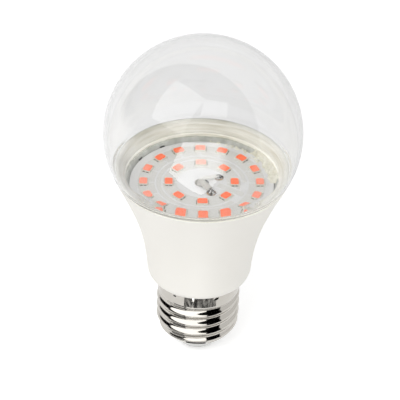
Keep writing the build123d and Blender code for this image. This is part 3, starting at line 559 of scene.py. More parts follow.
# %% Globe
globe_low, globe_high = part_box("globe")
housing_low, housing_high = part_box("housing")
GLOBE_RADIUS = (globe_high.x - globe_low.x) / 2 / MM
GLOBE_CENTRE = globe_high.z / MM - GLOBE_RADIUS
SEAM_LINE = 0.3
SEAM = housing_high.z / MM + SEAM_LINE
GLOBE_WALL = 0.6
COLLAR_BORE = 23.7
COLLAR_OUTSIDE = 25.22
COLLAR_FOOT_OUTSIDE = 24.3
COLLAR_FOOT = globe_low.z / MM
COLLAR_STRAIGHT = 1.2
COLLAR_CORNER = 0.15
COLLAR_CHAMFER = 0.1
COLLAR_LEDGE = 0.3
COLLAR_MIDDLE = SEAM - 2.2
ROOT_START = SEAM - 0.7
ROOT_TOP = SEAM + 1.9
ROOT_RISE = 1.1
ROOT_PULL = (0.8, 1.3)
EDGE_ROUNDING = 0.2
EDGE_BEND = ((0.07, 0.02), (0.1, 0.0), (0.35, 0.0))
LENS_HEIGHT = SEAM + 3.7
LENS_REACH = 3.4
LENS_BULGE = 0.13
LENS_FRONT = (cos(radians(50.0)), cos(radians(34.0)))
RIPPLE_START = ROOT_TOP - 1.0
RIPPLE_DEPTH = 0.012
RIPPLE_SCALE = 420.0
OUTLINE_POINTS = {"outside": 90, "edge": 4, "root": 14, "inside": 130}
GLOBE_STEPS = 300


def sphere_chain(radius, low, count):
    """Points on the globe's section from its crown down to a height."""
    end = asin((low - GLOBE_CENTRE) / radius)
    angles = [pi / 2 + (end - pi / 2) * i / count for i in range(1, count + 1)]
    points = [(radius * cos(angle), GLOBE_CENTRE + radius * sin(angle)) for angle in angles]
    return [(0.0, GLOBE_CENTRE + radius), *points]


def lens_bulge(height):
    """How far the neck of the moulded wall swells inwards at a height, in mm."""
    away = abs(height - LENS_HEIGHT) / LENS_REACH
    return LENS_BULGE * (1 + cos(pi * away)) / 2 if away < 1 else 0.0


def ripple_inside(bm):
    """Gives the inside of the neck its swell in front and its faint waves."""
    centre = Vector((0, 0, GLOBE_CENTRE)) * MM
    for vert in bm.verts:
        height = vert.co.z / MM
        outside = (vert.co - centre).length / MM > GLOBE_RADIUS - GLOBE_WALL / 2
        if outside or not SEAM < height < LENS_HEIGHT + LENS_REACH:
            continue
        towards = -vert.co.y / hypot(vert.co.x, vert.co.y)
        front = ease((towards - LENS_FRONT[0]) / (LENS_FRONT[1] - LENS_FRONT[0]))
        shift = -lens_bulge(height) * front
        if height > RIPPLE_START:
            shift += RIPPLE_DEPTH * noise.noise(vert.co * RIPPLE_SCALE)
        push_out(vert, shift)


def make_globe():
    outside = sphere_chain(GLOBE_RADIUS, SEAM + EDGE_ROUNDING, OUTLINE_POINTS["outside"])
    bend = [(outside[-1][0] - inward, SEAM + up) for inward, up in EDGE_BEND]
    edge = bezier([outside[-1], *bend], OUTLINE_POINTS["edge"])
    collar = [
        (COLLAR_OUTSIDE + COLLAR_LEDGE, SEAM),
        (COLLAR_OUTSIDE, SEAM - COLLAR_CHAMFER),
        (COLLAR_OUTSIDE, SEAM - COLLAR_STRAIGHT),
        (COLLAR_FOOT_OUTSIDE, COLLAR_FOOT + COLLAR_CHAMFER),
        (COLLAR_FOOT_OUTSIDE - COLLAR_CORNER, COLLAR_FOOT),
        (COLLAR_BORE + COLLAR_CORNER, COLLAR_FOOT),
        (COLLAR_BORE, COLLAR_FOOT + COLLAR_CORNER),
        (COLLAR_BORE, COLLAR_MIDDLE),
        (COLLAR_BORE, ROOT_START),
    ]
    inside = sphere_chain(GLOBE_RADIUS - GLOBE_WALL, ROOT_TOP, OUTLINE_POINTS["inside"])
    pulls = [(COLLAR_BORE, ROOT_START + ROOT_RISE), (inside[-1][0] - ROOT_PULL[0], ROOT_TOP - ROOT_PULL[1])]
    root = bezier([collar[-1], *pulls, inside[-1]], OUTLINE_POINTS["root"])
    bm = bmesh.new()
    spin_outline(bm, outside + edge + collar + root + inside[-2::-1], GLOBE_STEPS)
    clean_up(bm)
    ripple_inside(bm)
    return make_piece("clear_ball", bm, "clear_globe", "globe")


print("globe faces:", len(make_globe().data.polygons))

# %% [markdown]
# The screw shell is thin sheet rolled into a thread. A screw could be spun with a rise in each
# step, but this thread also fades into a plain band above and curls in below. So a plain tube
# is spun first, and each of its points is then pushed to the rolled radius at its own turn
# and height. Solidify gives the sheet its thickness.

# %% Screw shell
shell_low, shell_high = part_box("screw_shell")
SHELL_FOOT = shell_low.z / MM
SHELL_TOP = shell_high.z / MM
CREST_RADIUS = 13.15
THREAD_DEPTH = 0.95
THREAD_PITCH = 3.629
FRONT_CREST = SHELL_TOP - 8.48
BAND_RADIUS = 13.0
BAND_FOOT = SHELL_TOP - 5.33
THREAD_RUNOUT = 1.3
THREAD_FADE_IN = 2.0
THREAD_START = SHELL_FOOT + 1.4
CURL_START = SHELL_FOOT + 5.2
CURL_DEPTH = 2.85
SHELL_WALL = 0.35
BEAD_HEIGHT = 0.22
BEAD_DEPTH = 0.07
STAKES = 6
STAKE_AZIMUTH = radians(236.0)
STAKE_HEIGHT = SHELL_TOP - 1.73
STAKE_WIDTH = 0.62
STAKE_DEPTH = 0.24
SHELL_ROWS = 170
SHELL_STEPS = 192


def rolled_radius(azimuth, height):
    """Radius of the shell's outside, in mm, at a turn and a height."""
    curl = max(CURL_START - height, 0.0) / (CURL_START - SHELL_FOOT)
    crest = CREST_RADIUS - CURL_DEPTH * curl**2
    turn = (azimuth + pi / 2) / (2 * pi)
    wave = (1 - cos(2 * pi * ((height - FRONT_CREST) / THREAD_PITCH - turn))) / 2
    depth = THREAD_DEPTH * ease((height - THREAD_START) / THREAD_FADE_IN)
    thread = ease((BAND_FOOT - height) / THREAD_RUNOUT)
    return (1 - thread) * BAND_RADIUS + thread * (crest - depth * wave)


def stake_dent(azimuth, height):
    """Depth of the small dents that hold the shell on the neck, in mm."""
    deepest = 0.0
    for i in range(STAKES):
        away = (azimuth - STAKE_AZIMUTH - 2 * pi * i / STAKES + pi) % (2 * pi) - pi
        reach = hypot(away * BAND_RADIUS, height - STAKE_HEIGHT) / STAKE_WIDTH
        deepest = max(deepest, STAKE_DEPTH * exp(-2 * reach * reach))
    return deepest


def thicken(piece, thickness):
    """Gives a sheet its thickness in mm, inwards from its face."""
    sheet = piece.modifiers.new("sheet", "SOLIDIFY")
    sheet.thickness = thickness * MM
    sheet.offset = -1.0


def make_screw_shell():
    bm = bmesh.new()
    rows = [SHELL_FOOT + (SHELL_TOP - SHELL_FOOT) * i / SHELL_ROWS for i in range(SHELL_ROWS + 1)]
    spin_outline(bm, [(BAND_RADIUS, height) for height in rows], SHELL_STEPS)
    for vert in bm.verts:
        azimuth = atan2(vert.co.y, vert.co.x)
        height = vert.co.z / MM
        bead = BEAD_DEPTH * exp(-(((height - BAND_FOOT) / BEAD_HEIGHT) ** 2))
        vert.co = turned(rolled_radius(azimuth, height) - bead - stake_dent(azimuth, height), azimuth, height)
    clean_up(bm)
    if sum(face.normal.xy.dot(face.calc_center_median().xy) for face in bm.faces) < 0:
        bmesh.ops.reverse_faces(bm, faces=bm.faces)
    shell = make_piece("rolled_shell", bm, "nickel_cap", "screw_shell")
    thicken(shell, SHELL_WALL)
    return shell


print("shell faces before its thickness:", len(make_screw_shell().data.polygons))

# %% [markdown]
# Each lamp is a moulded frame with a pocket. A box is scaled to size, its upper face is inset
# and sunk to open the pocket, and a small bevel softens the edges that catch the light. The
# phosphor is a pad with rounded corners and a slight crown. One lamp is built at the origin
# and copied to its places on the two rings.

# %% Lamps
LED_LENGTH = 3.5
LED_WIDTH = 2.8
LED_HEIGHT = 0.74
LED_LIP = 0.27
LED_POCKET = 0.3
LED_BEVEL = 0.06
UPPER_EDGES = 0.5 * LED_HEIGHT * MM
UPRIGHT_EDGES = 0.6 * LED_HEIGHT * MM
WINDOW_LENGTH = 2.96
WINDOW_WIDTH = 2.3
WINDOW_CORNER = 0.6
WINDOW_CORNER_STEPS = 5
WINDOW_SINK = 0.03
WINDOW_INSETS = (0.12, 0.3)
WINDOW_CROWN = 0.05
TAB_WIDTH = 0.85
TAB_SPACING = 1.15
TAB_REACH = 0.26
TAB_OVERLAP = 0.04
TAB_HEIGHT = 0.24
TAB_SLOPE = 0.6
TAB_BEVEL = 0.04
LED_AZIMUTH = radians(2.4)
track_low, track_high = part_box("board_tracks")
TRACK_TOP = track_high.z / MM
LAMP_RINGS = (("outer", 16, 17.9), ("inner", 8, 10.1))


def box_of(bm, size, centre):
    """Adds a box of a size round a centre, in mm, and returns its points."""
    made = bmesh.ops.create_cube(bm, size=1.0)
    bmesh.ops.scale(bm, vec=Vector(size) * MM, verts=made["verts"])
    bmesh.ops.translate(bm, vec=Vector(centre) * MM, verts=made["verts"])
    return made["verts"]


def bevel(bm, geometry, width, kind="EDGES", segments=2):
    """Rounds edges or corners by a width in mm."""
    more = {"clamp_overlap": True} if kind == "EDGES" else {}
    bmesh.ops.bevel(bm, geom=geometry, offset=width * MM, offset_type="OFFSET", affect=kind,
                    segments=segments, profile=0.5, material=-1, **more)


def lift(bm, verts, height):
    """Moves points up by a height in mm."""
    bmesh.ops.translate(bm, vec=(0, 0, height * MM), verts=verts)


def sink_top(bm, insets, height):
    """Insets the upper face, once or more, and moves it up by a height each time."""
    top = max(bm.faces, key=lambda face: face.calc_center_median().z)
    for inset in insets:
        bmesh.ops.inset_region(bm, faces=[top], thickness=inset * MM, use_even_offset=True)
        lift(bm, top.verts, height)


def lamp_frame():
    bm = bmesh.new()
    box_of(bm, (LED_WIDTH, LED_LENGTH, LED_HEIGHT), (0, 0, LED_HEIGHT / 2))
    sink_top(bm, [LED_LIP], -LED_POCKET)
    upper = {edge for edge in bm.edges if all(vert.co.z > UPPER_EDGES for vert in edge.verts)}
    rises = {edge: abs(edge.verts[0].co.z - edge.verts[1].co.z) for edge in bm.edges}
    upright = {edge for edge, rise in rises.items() if rise > UPRIGHT_EDGES}
    bevel(bm, list(upper | upright), LED_BEVEL)
    return bm


def lamp_window():
    bm = bmesh.new()
    bmesh.ops.create_grid(bm, x_segments=1, y_segments=1, size=0.5)
    bmesh.ops.scale(bm, vec=(WINDOW_WIDTH * MM, WINDOW_LENGTH * MM, 1.0), verts=bm.verts)
    bevel(bm, bm.verts[:], WINDOW_CORNER, kind="VERTICES", segments=WINDOW_CORNER_STEPS)
    raised = bmesh.ops.extrude_face_region(bm, geom=bm.faces[:])
    verts = [item for item in raised["geom"] if isinstance(item, bmesh.types.BMVert)]
    lift(bm, verts, LED_POCKET - WINDOW_SINK)
    sink_top(bm, WINDOW_INSETS, WINDOW_CROWN / 2)
    lift(bm, bm.verts, LED_HEIGHT - LED_POCKET)
    return bm


def lamp_ends():
    """The two metal ends with the solder that climbs them."""
    bm = bmesh.new()
    for side, half in ((-1, -1), (-1, 1), (1, -1), (1, 1)):
        y = side * (LED_LENGTH / 2 + TAB_REACH / 2 - TAB_OVERLAP)
        centre = (half * TAB_SPACING / 2, y, TAB_HEIGHT / 2)
        verts = box_of(bm, (TAB_WIDTH, TAB_REACH, TAB_HEIGHT), centre)
        outer = [vert for vert in verts if vert.co.y * side > abs(y) * MM and vert.co.z > 0]
        lift(bm, outer, -TAB_SLOPE * TAB_HEIGHT)
        bevel(bm, list({edge for vert in verts for edge in vert.link_edges}), TAB_BEVEL)
    return bm


def place_on_ring(bm, radius, azimuth):
    """Cleans a lamp at the origin and moves it to its place on a ring."""
    clean_up(bm)
    move = Matrix.Rotation(azimuth, 4, "Z") @ Matrix.Translation((radius * MM, 0, TRACK_TOP * MM))
    bmesh.ops.transform(bm, matrix=move, verts=bm.verts)
    return bm


def add_to(total, part):
    """Copies one bmesh into another."""
    mesh = bpy.data.meshes.new("spare")
    part.to_mesh(mesh)
    part.free()
    total.from_mesh(mesh)
    bpy.data.meshes.remove(mesh)


def make_lamps(ring, number, radius):
    windows, ends = bmesh.new(), bmesh.new()
    for i in range(number):
        azimuth = LED_AZIMUTH + 2 * pi * i / number
        body = place_on_ring(lamp_frame(), radius, azimuth)
        make_piece(f"{ring}_lamp_{i + 1:02d}", body, "led_frame", f"{ring}_led_{i + 1:02d}", smooth=False)
        add_to(windows, place_on_ring(lamp_window(), radius, azimuth))
        add_to(ends, place_on_ring(lamp_ends(), radius, azimuth))
    make_piece(f"{ring}_lamp_windows", windows, "led_window", f"{ring}_led_phosphors")
    make_piece(f"{ring}_lamp_ends", ends, "tinned_lead", f"{ring}_led_terminals", smooth=False)


for ring, number, radius in LAMP_RINGS:
    make_lamps(ring, number, radius)
print("lamps:", sum(number for ring, number, radius in LAMP_RINGS))

# %% [markdown]
# Two sleeved wires come up through the hole in the board and lie over to their pads. A wire is a
# smooth curve with a round section: a NURBS line through a few listed points. The
# sleeve stops short of the joint and a thinner tinned end goes on into the solder.

# %% Wires
board_low, board_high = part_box("led_board")
driver_low, driver_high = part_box("driver_board")
BOARD_TOP = board_high.z / MM
DRIVER_TOP = driver_high.z / MM
PAD_RADIUS = 6.0
PAD_TURNS = {"positive": radians(29.2), "negative": radians(-59.6)}
PADS = {side: (PAD_RADIUS * cos(turn), PAD_RADIUS * sin(turn)) for side, turn in PAD_TURNS.items()}
WIRE_ORDER = 3
WIRE_STEPS = 10
WIRE_ROUNDNESS = 6
WIRES = {
    "positive": {
        "sleeve": 0.62,
        "strand": 0.32,
        "finish": "wire_sleeve",
        "route": [
            (3.0, 1.2, DRIVER_TOP - 4.0),
            (3.0, 1.2, DRIVER_TOP),
            (0.6, 1.0, BOARD_TOP - 5.0),
            (-0.5, 0.6, BOARD_TOP - 1.6),
            (-0.5, 0.55, BOARD_TOP + 0.55),
            (0.3, 0.5, BOARD_TOP + 1.3),
            (1.8, 1.15, BOARD_TOP + 1.15),
            (4.2, 2.4, BOARD_TOP + 0.9),
        ],
        "end": [
            (3.6, 2.15, BOARD_TOP + 0.95),
            (4.4, 2.5, BOARD_TOP + 0.8),
            (*PADS["positive"], BOARD_TOP + 0.5),
        ],
    },
    "negative": {
        "sleeve": 0.95,
        "strand": 0.4,
        # A greyer sleeve: painted shade.
        "finish": "wire_sleeve_painted_shade",
        "route": [
            (-3.0, -1.4, DRIVER_TOP - 4.0),
            (-3.0, -1.4, DRIVER_TOP),
            (-1.4, -1.2, BOARD_TOP - 5.0),
            (-0.55, -0.98, BOARD_TOP - 1.6),
            (-0.5, -1.0, BOARD_TOP + 0.5),
            (0.05, -1.4, BOARD_TOP + 1.4),
            (0.95, -2.6, BOARD_TOP + 1.2),
            (2.45, -4.5, BOARD_TOP + 0.98),
        ],
        "end": [
            (2.1, -4.0, BOARD_TOP + 1.0),
            (2.65, -4.65, BOARD_TOP + 0.9),
            (*PADS["negative"], BOARD_TOP + 0.5),
        ],
    },
}


def round_wire(points, radius):
    """A bmesh of a round wire along a smooth line near the points, with closed ends."""
    curve = bpy.data.curves.new("line", "CURVE")
    curve.dimensions = "3D"
    spline = curve.splines.new("NURBS")
    spline.points.add(len(points) - 1)
    for point, place in zip(spline.points, points):
        point.co = (*(Vector(place) * MM), 1.0)
    spline.order_u = WIRE_ORDER
    spline.use_endpoint_u = True
    spline.resolution_u = WIRE_STEPS
    curve.bevel_depth = radius * MM
    curve.bevel_resolution = WIRE_ROUNDNESS
    curve.use_fill_caps = True
    holder = bpy.data.objects.new("line", curve)
    mesh = bpy.data.meshes.new_from_object(holder)
    bm = bmesh.new()
    bm.from_mesh(mesh)
    bpy.data.objects.remove(holder)
    bpy.data.curves.remove(curve)
    bpy.data.meshes.remove(mesh)
    clean_up(bm)
    return bm


for side, wire in WIRES.items():
    bm = round_wire(wire["route"], wire["sleeve"])
    sleeve = make_piece(f"{side}_sleeve", bm, "wire_sleeve", f"{side}_wire", finish=wire["finish"])
    make_piece(f"{side}_strand", round_wire(wire["end"], wire["strand"]), "solder")
    print(side, "wire faces:", len(sleeve.data.polygons))

# %% [markdown]
# The hole in the plate is punched, so its wall is bare metal that leans inwards a little; its tone
# is darkened a little as painted shade in the hole. It is spun, and its right part is left out, as
# only the dark passage shows there in the photograph. A dark tube, painted shade, stands for that
# passage to the driver. On the left the board's edge leaves two short gaps against the cup, shown
# by two slim dark bars of painted shade.

# %% Punched hole and edge gaps
HOLE_RADIUS = 2.17
HOLE_LEAN = 0.75
HOLE_OUTLINE = [
    (HOLE_RADIUS, BOARD_TOP - 0.03),
    (HOLE_RADIUS - 0.3 * HOLE_LEAN, BOARD_TOP - 0.4),
    (HOLE_RADIUS - HOLE_LEAN, BOARD_TOP - 0.95),
]
LEAN_END = 0.3
PASSAGE_RADIUS = HOLE_RADIUS - 0.02
PASSAGE_OUTLINE = [(PASSAGE_RADIUS, BOARD_TOP - 0.02), (PASSAGE_RADIUS, BOARD_TOP - 3.8)]
HOLE_STEPS = 64
GAP_AZIMUTHS = (124.5, 149.0)
GAP_RADIUS = 22.55
GAP_SIZE = (0.5, 1.7, 0.3)
GAP_BEVEL = 0.12

bm = bmesh.new()
spin_outline(bm, HOLE_OUTLINE, HOLE_STEPS)
right = [vert for vert in bm.verts if vert.co.x > LEAN_END * MM]
bmesh.ops.delete(bm, geom=right, context="VERTS")
clean_up(bm)
make_piece("hole_wall", bm, "board_lacquer", finish="bare_edge_and_shade")
bm = bmesh.new()
spin_outline(bm, PASSAGE_OUTLINE, HOLE_STEPS)
clean_up(bm)
make_piece("cable_passage", bm, "cup_aluminium", finish="passage")
# Two slim dark bars: painted shade in the gaps at the board's edge.
bm = bmesh.new()
for azimuth in GAP_AZIMUTHS:
    turn = Matrix.Rotation(radians(azimuth), 3, "Z")
    bmesh.ops.rotate(bm, cent=(0, 0, 0), matrix=turn, verts=box_of(bm, GAP_SIZE, (GAP_RADIUS, 0, BOARD_TOP)))
bevel(bm, bm.edges[:], GAP_BEVEL)
make_piece("edge_gaps", bm, "cup_aluminium", finish="chip_case")
print("hole wall and", len(GAP_AZIMUTHS), "gaps")

# %% [markdown]
# A hand-soldered joint is a lump of tin that ran out over its pad, with flux burnt round its
# foot. An icosphere is flattened and its points are pushed by noise, which gives the broken
# highlights of a joint made in a hurry. The flux is a thin spun stain with a frayed edge.

# %% Solder joints
SOLDER_FINENESS = 5
SOLDER_HEIGHT = 0.95
SOLDER_SINK = 0.02
SOLDER_LUMPS = ((0.28, 1.9, 0.0), (0.098, 4.5, 3.0))
SOLDER_FOOT_HEIGHT = 0.35
SOLDER_FOOT_SPREAD = 0.35
FLUX_OUTLINE = [(0.0, 0.16), (1.0, 0.16), (1.25, 0.1), (1.42, 0.0)]
FLUX_STEPS = 48
FLUX_FRAY = 0.12
FLUX_FRAY_SCALE = 900.0
FLUX_FORWARD = 0.12
FLUX_LIFT = 0.01


def make_joint(name, pad, node):
    """A lump of solder; its lumps are (depth, scale, start) of a noise."""
    bm = bmesh.new()
    bmesh.ops.create_icosphere(bm, subdivisions=SOLDER_FINENESS, radius=1.0)
    for vert in bm.verts:
        swell = 1.0
        for depth, scale, start in SOLDER_LUMPS:
            swell += depth * noise.noise(vert.co * scale + Vector((*pad, start)))
        low = ease(1 - max(vert.co.z, 0.0) / SOLDER_FOOT_HEIGHT)
        vert.co.x *= swell * (1 + SOLDER_FOOT_SPREAD * low)
        vert.co.y *= swell * (1 + SOLDER_FOOT_SPREAD * low)
        vert.co.z = max(vert.co.z, -SOLDER_SINK) * SOLDER_HEIGHT * swell
    bmesh.ops.scale(bm, vec=(MM, MM, MM), verts=bm.verts)
    bmesh.ops.translate(bm, vec=Vector((*pad, TRACK_TOP)) * MM, verts=bm.verts)
    clean_up(bm)
    make_piece(name, bm, "solder", node)


def make_flux(name, pad):
    """A thin stain of burnt flux round the foot of a joint, heavier towards the front."""
    bm = bmesh.new()
    spin_outline(bm, FLUX_OUTLINE, FLUX_STEPS)
    for vert in bm.verts:
        reach = 1 + FLUX_FRAY * noise.noise(vert.co * FLUX_FRAY_SCALE + Vector((*pad, 0)))
        vert.co.x = vert.co.x * reach + pad[0] * MM
        vert.co.y = vert.co.y * reach + (pad[1] - FLUX_FORWARD) * MM
        vert.co.z += (TRACK_TOP + FLUX_LIFT) * MM
    clean_up(bm)
    make_piece(name, bm, "solder", finish="burnt_flux")


for side, pad in PADS.items():
    make_flux(f"{side}_flux", pad)
for side, pad in PADS.items():
    make_joint(f"{side}_joint", pad, f"{side}_solder")
print("solder joints:", len(PADS))

# %% [markdown]
# The sealant was laid by a nozzle between collar, rim and cup, and wiped over the board's edge on
# one side. It wets the clear collar, so its faces sit a hair inside the glass and no film of
# air mirrors there. The bead is spun from its section. The smear is a sheet of squares bent
# round the board; its inner edge, its height and its lumps follow smooth noise. Small drops and
# burst bubbles lie along the back edge of the board.

# %% Sealant
cup_low, cup_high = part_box("heat_sink_cup")
CUP_TOP = cup_high.z / MM
WALL_AT_CUP = 24.1
WALL_AT_FOOT = 24.62
RIM_BORE = 25.48
SEAM_EDGE = 27.06
WETTING = 0.04
WET_RADIUS = 26.0
WET_EDGE = 0.05
WET_SPREAD = 0.9
WET_BACK = (-0.92, -0.62)
BEAD_STEPS = 256
BEAD_SECTION = [
    (COLLAR_BORE + 0.05, CUP_TOP + 0.02),
    (COLLAR_BORE - 0.05, CUP_TOP + 0.35),
    (COLLAR_BORE - 0.1, CUP_TOP + 0.8),
    (COLLAR_BORE - 0.05, COLLAR_FOOT - 0.05),
    (COLLAR_BORE + COLLAR_CORNER, COLLAR_FOOT + WETTING),
    (COLLAR_FOOT_OUTSIDE - WETTING, COLLAR_FOOT + WETTING),
    (COLLAR_OUTSIDE - WETTING, SEAM - COLLAR_STRAIGHT),
    (COLLAR_OUTSIDE - WETTING, SEAM + WETTING),
    (WET_RADIUS, SEAM + WETTING),
    (WET_RADIUS + WET_EDGE, SEAM - 0.03),
    (SEAM_EDGE - 0.05, SEAM - 0.03),
    (SEAM_EDGE, SEAM - 0.15),
    (SEAM_EDGE - 0.05, SEAM - SEAM_LINE),
    (RIM_BORE, SEAM - SEAM_LINE),
    (RIM_BORE, SEAM - 1.6),
    (WALL_AT_FOOT, COLLAR_FOOT - 0.3),
    (WALL_AT_CUP, CUP_TOP + 0.02),
]
BEAD_INNER_FACE = COLLAR_BORE + 0.2
BEAD_OUTER_FACE = SEAM_EDGE - 0.01
BEAD_RIPPLE = 0.1
BEAD_RIPPLE_SCALE = 700.0
LIP_TOP = CUP_TOP + 1.0
LIP_WAVES = ((0.45, 260.0), (0.225, 900.0))
SMEAR_GRID = (260, 22)
SMEAR_START = radians(2.0)
SMEAR_SPAN = radians(46.0)
SMEAR_INNER = 20.9
SMEAR_OUTER = 23.75
SMEAR_NARROWING = (0.9, 0.35, 0.5)
SMEAR_EDGE_WAVES = ((0.6, 9.0, 0.3), (0.35, 30.0, 1.7))
SMEAR_LUMPS = ((0.5, 20.0, 2.2, 5.0), (0.28, 60.0, 7.0, 9.0))
SMEAR_TAPER = 0.06
SMEAR_CROWN = (0.28, 0.16)
SMEAR_LUMP_START = 0.12
SMEAR_CLIMB_START = 0.3
SMEAR_CLIMB = CUP_TOP + 0.55 - BOARD_TOP - SMEAR_CROWN[0]
SMEAR_LIFT = 0.02
SMEAR_SKIN = 0.1
BUBBLE_COUNT = 90
BUBBLE_SEED = 11
BUBBLE_FINENESS = 3
BUBBLE_CROWDING = 1.4
BUBBLE_TURN = (34.0, 84.0)
BUBBLE_RING = (20.7, 22.6)
BUBBLE_DRIFT = 0.9
BUBBLE_SIZE = (0.1, 0.34)
BUBBLE_LIFT = 0.3
BUBBLE_FLATNESS = 0.8
BUBBLE_LUMPS = 0.3
BUBBLE_LUMP_SCALE = 2500.0


def make_bead():
    bm = bmesh.new()
    spin_outline(bm, BEAD_SECTION, BEAD_STEPS, closed=True)
    for vert in bm.verts:
        radius = hypot(vert.co.x, vert.co.y) / MM
        if radius < BEAD_INNER_FACE or radius > BEAD_OUTER_FACE:
            push_out(vert, BEAD_RIPPLE * noise.noise(vert.co * BEAD_RIPPLE_SCALE))
        elif abs(radius - WET_RADIUS - WET_EDGE / 2) < WET_EDGE:
            back = ease((vert.co.y / MM / radius - WET_BACK[0]) / (WET_BACK[1] - WET_BACK[0]))
            push_out(vert, back * WET_SPREAD)
        if radius < BEAD_INNER_FACE and vert.co.z < LIP_TOP * MM:
            vert.co.z += sum(depth * noise.noise(vert.co * scale) for depth, scale in LIP_WAVES) * MM
    clean_up(bm)
    make_piece("sealant_bead", bm, "sealant", "adhesive_bead", finish="pressed_sealant")


def smear_inner_radius(azimuth):
    """Inner edge of the smear in mm: broad at the right and narrower towards the back."""
    loss, start, length = SMEAR_NARROWING
    part = (azimuth - SMEAR_START) / SMEAR_SPAN
    edge = SMEAR_INNER + loss * ease((part - start) / length)
    for depth, scale, begin in SMEAR_EDGE_WAVES:
        edge += depth * noise.noise(Vector((azimuth * scale, begin, 0)))
    return edge


def smear_rise(azimuth, across, taper):
    """Height of the smear over the board in mm, from its inner edge across to its outer one."""
    crown, crown_width = SMEAR_CROWN
    climb = SMEAR_CLIMB * ease((across - SMEAR_CLIMB_START) / (1 - SMEAR_CLIMB_START))
    lumps = 0.0
    for depth, scale_round, scale_across, begin in SMEAR_LUMPS:
        lumps += depth * noise.noise(Vector((azimuth * scale_round, across * scale_across, begin)))
    rise = crown * ease(across / crown_width) + climb + lumps * ease(across / SMEAR_LUMP_START)
    return max(rise * taper, 0.0)


def make_smear():
    bm = bmesh.new()
    bmesh.ops.create_grid(bm, x_segments=SMEAR_GRID[0], y_segments=SMEAR_GRID[1], size=0.5)
    for vert in bm.verts:
        azimuth = SMEAR_START + SMEAR_SPAN * (vert.co.x + 0.5)
        across = vert.co.y + 0.5
        inner = smear_inner_radius(azimuth)
        taper = ease((vert.co.x + 0.5) / SMEAR_TAPER) * ease((0.5 - vert.co.x) / SMEAR_TAPER)
        height = BOARD_TOP + SMEAR_LIFT + smear_rise(azimuth, across, taper)
        vert.co = turned(inner + (SMEAR_OUTER - inner) * across, azimuth, height)
    bmesh.ops.recalc_face_normals(bm, faces=bm.faces)
    if sum(face.normal.z for face in bm.faces) < 0:
        bmesh.ops.reverse_faces(bm, faces=bm.faces)
    thicken(make_piece("sealant_smear", bm, "sealant"), SMEAR_SKIN)


def make_bubbles():
    """Small drops and burst bubbles of sealant along the board's back edge."""
    chance = random.Random(BUBBLE_SEED)
    bm = bmesh.new()
    for _ in range(BUBBLE_COUNT):
        part = chance.random() ** BUBBLE_CROWDING
        azimuth = radians(BUBBLE_TURN[0] + (BUBBLE_TURN[1] - BUBBLE_TURN[0]) * part)
        radius = chance.uniform(BUBBLE_RING[0] + BUBBLE_DRIFT * part, BUBBLE_RING[1])
        size = chance.uniform(*BUBBLE_SIZE)
        ball = bmesh.ops.create_icosphere(bm, subdivisions=BUBBLE_FINENESS, radius=size * MM)
        verts = ball["verts"]
        bmesh.ops.scale(bm, vec=(1.0, 1.0, BUBBLE_FLATNESS), verts=verts)
        start = Vector((azimuth, radius, 0))
        for vert in verts:
            vert.co *= 1 + BUBBLE_LUMPS * noise.noise(vert.co * BUBBLE_LUMP_SCALE + start)
        place = turned(radius, azimuth, BOARD_TOP + BUBBLE_LIFT * size)
        bmesh.ops.translate(bm, vec=place, verts=verts)
    make_piece("sealant_bubbles", bm, "sealant")


make_bead()
make_smear()
make_bubbles()
print("sealant from", round(CUP_TOP, 2), "to", round(SEAM, 2), "mm")

# %% [markdown]
# The bulb stands on a white floor. The floor, the lamps and the flags belong to the studio and
# not to the object. Camera, gloss and glass rays find the floor a little brighter than it is
# lit, so that it reads as white paper while the bulb's soft shadow stays on it. Through the
# globe its glow is dimmer, more so on the right: painted shade.

# %% Floor
WHITE = (1.0, 1.0, 1.0, 1.0)
FLOOR_SIZE = 3.0
FLOOR_COLOUR = (246, 246, 246)
FLOOR_ROUGHNESS = 0.9
FLOOR_GLOW = 0.36
FLOOR_SHADE_IN_GLASS = (0.76, 0.46)
FLOOR_SHADE_IN_GLASS_REACH = 60.0


def seen_or_unseen(tree, seen, unseen):
    """One value for camera, gloss and glass rays and another for the rest."""
    rays = rays_of(tree)
    either = calculate(tree, "MAXIMUM", rays["Is Camera Ray"], rays["Is Glossy Ray"])
    any_ray = calculate(tree, "MAXIMUM", either, rays["Is Transmission Ray"])
    return ramp(tree, any_ray, 0, 1, unseen, seen)


def make_floor():
    bm = bmesh.new()
    bmesh.ops.create_grid(bm, x_segments=1, y_segments=1, size=FLOOR_SIZE / 2)
    floor = new_object("floor", bm)
    material, tree = new_tree("white_paper")
    # Painted shade: through the globe the floor's glow is dimmer, more so on the right.
    across = axis_ramp(tree, "X", -FLOOR_SHADE_IN_GLASS_REACH, FLOOR_SHADE_IN_GLASS_REACH, *FLOOR_SHADE_IN_GLASS)
    share = blend(tree, rays_of(tree)["Is Singular Ray"], 1.0, across, data_type="FLOAT")
    feed(tree, tree.nodes["Principled BSDF"], {
        "Base Color": display(*FLOOR_COLOUR),
        "Roughness": FLOOR_ROUGHNESS,
        "Emission Color": WHITE,
        "Emission Strength": calculate(tree, "MULTIPLY", seen_or_unseen(tree, FLOOR_GLOW, 0.0), share),
    })
    wear(floor, material)


make_floor()
print("floor size in m:", FLOOR_SIZE)

# %% [markdown]
# The world is a plain white room. Seen directly, in metal or through glass it is white; as light
# it is weaker, so that the lamp from the upper left still shapes the housing. In the globe's
# mirror it is a shade darker. The two area lamps give light alone and are never seen.

# %% World and lamps
WORLD_LIGHT = 0.70
ROOM_IN_MIRROR = 0.95
LAMP_AIM = Vector((0.0, 0.0, 0.06))
LAMPS = {
    "key": ((-0.29, -0.50, 0.57), 0.45, 2.2),
    "fill": ((0.45, -0.50, 0.45), 0.50, 0.35),
}

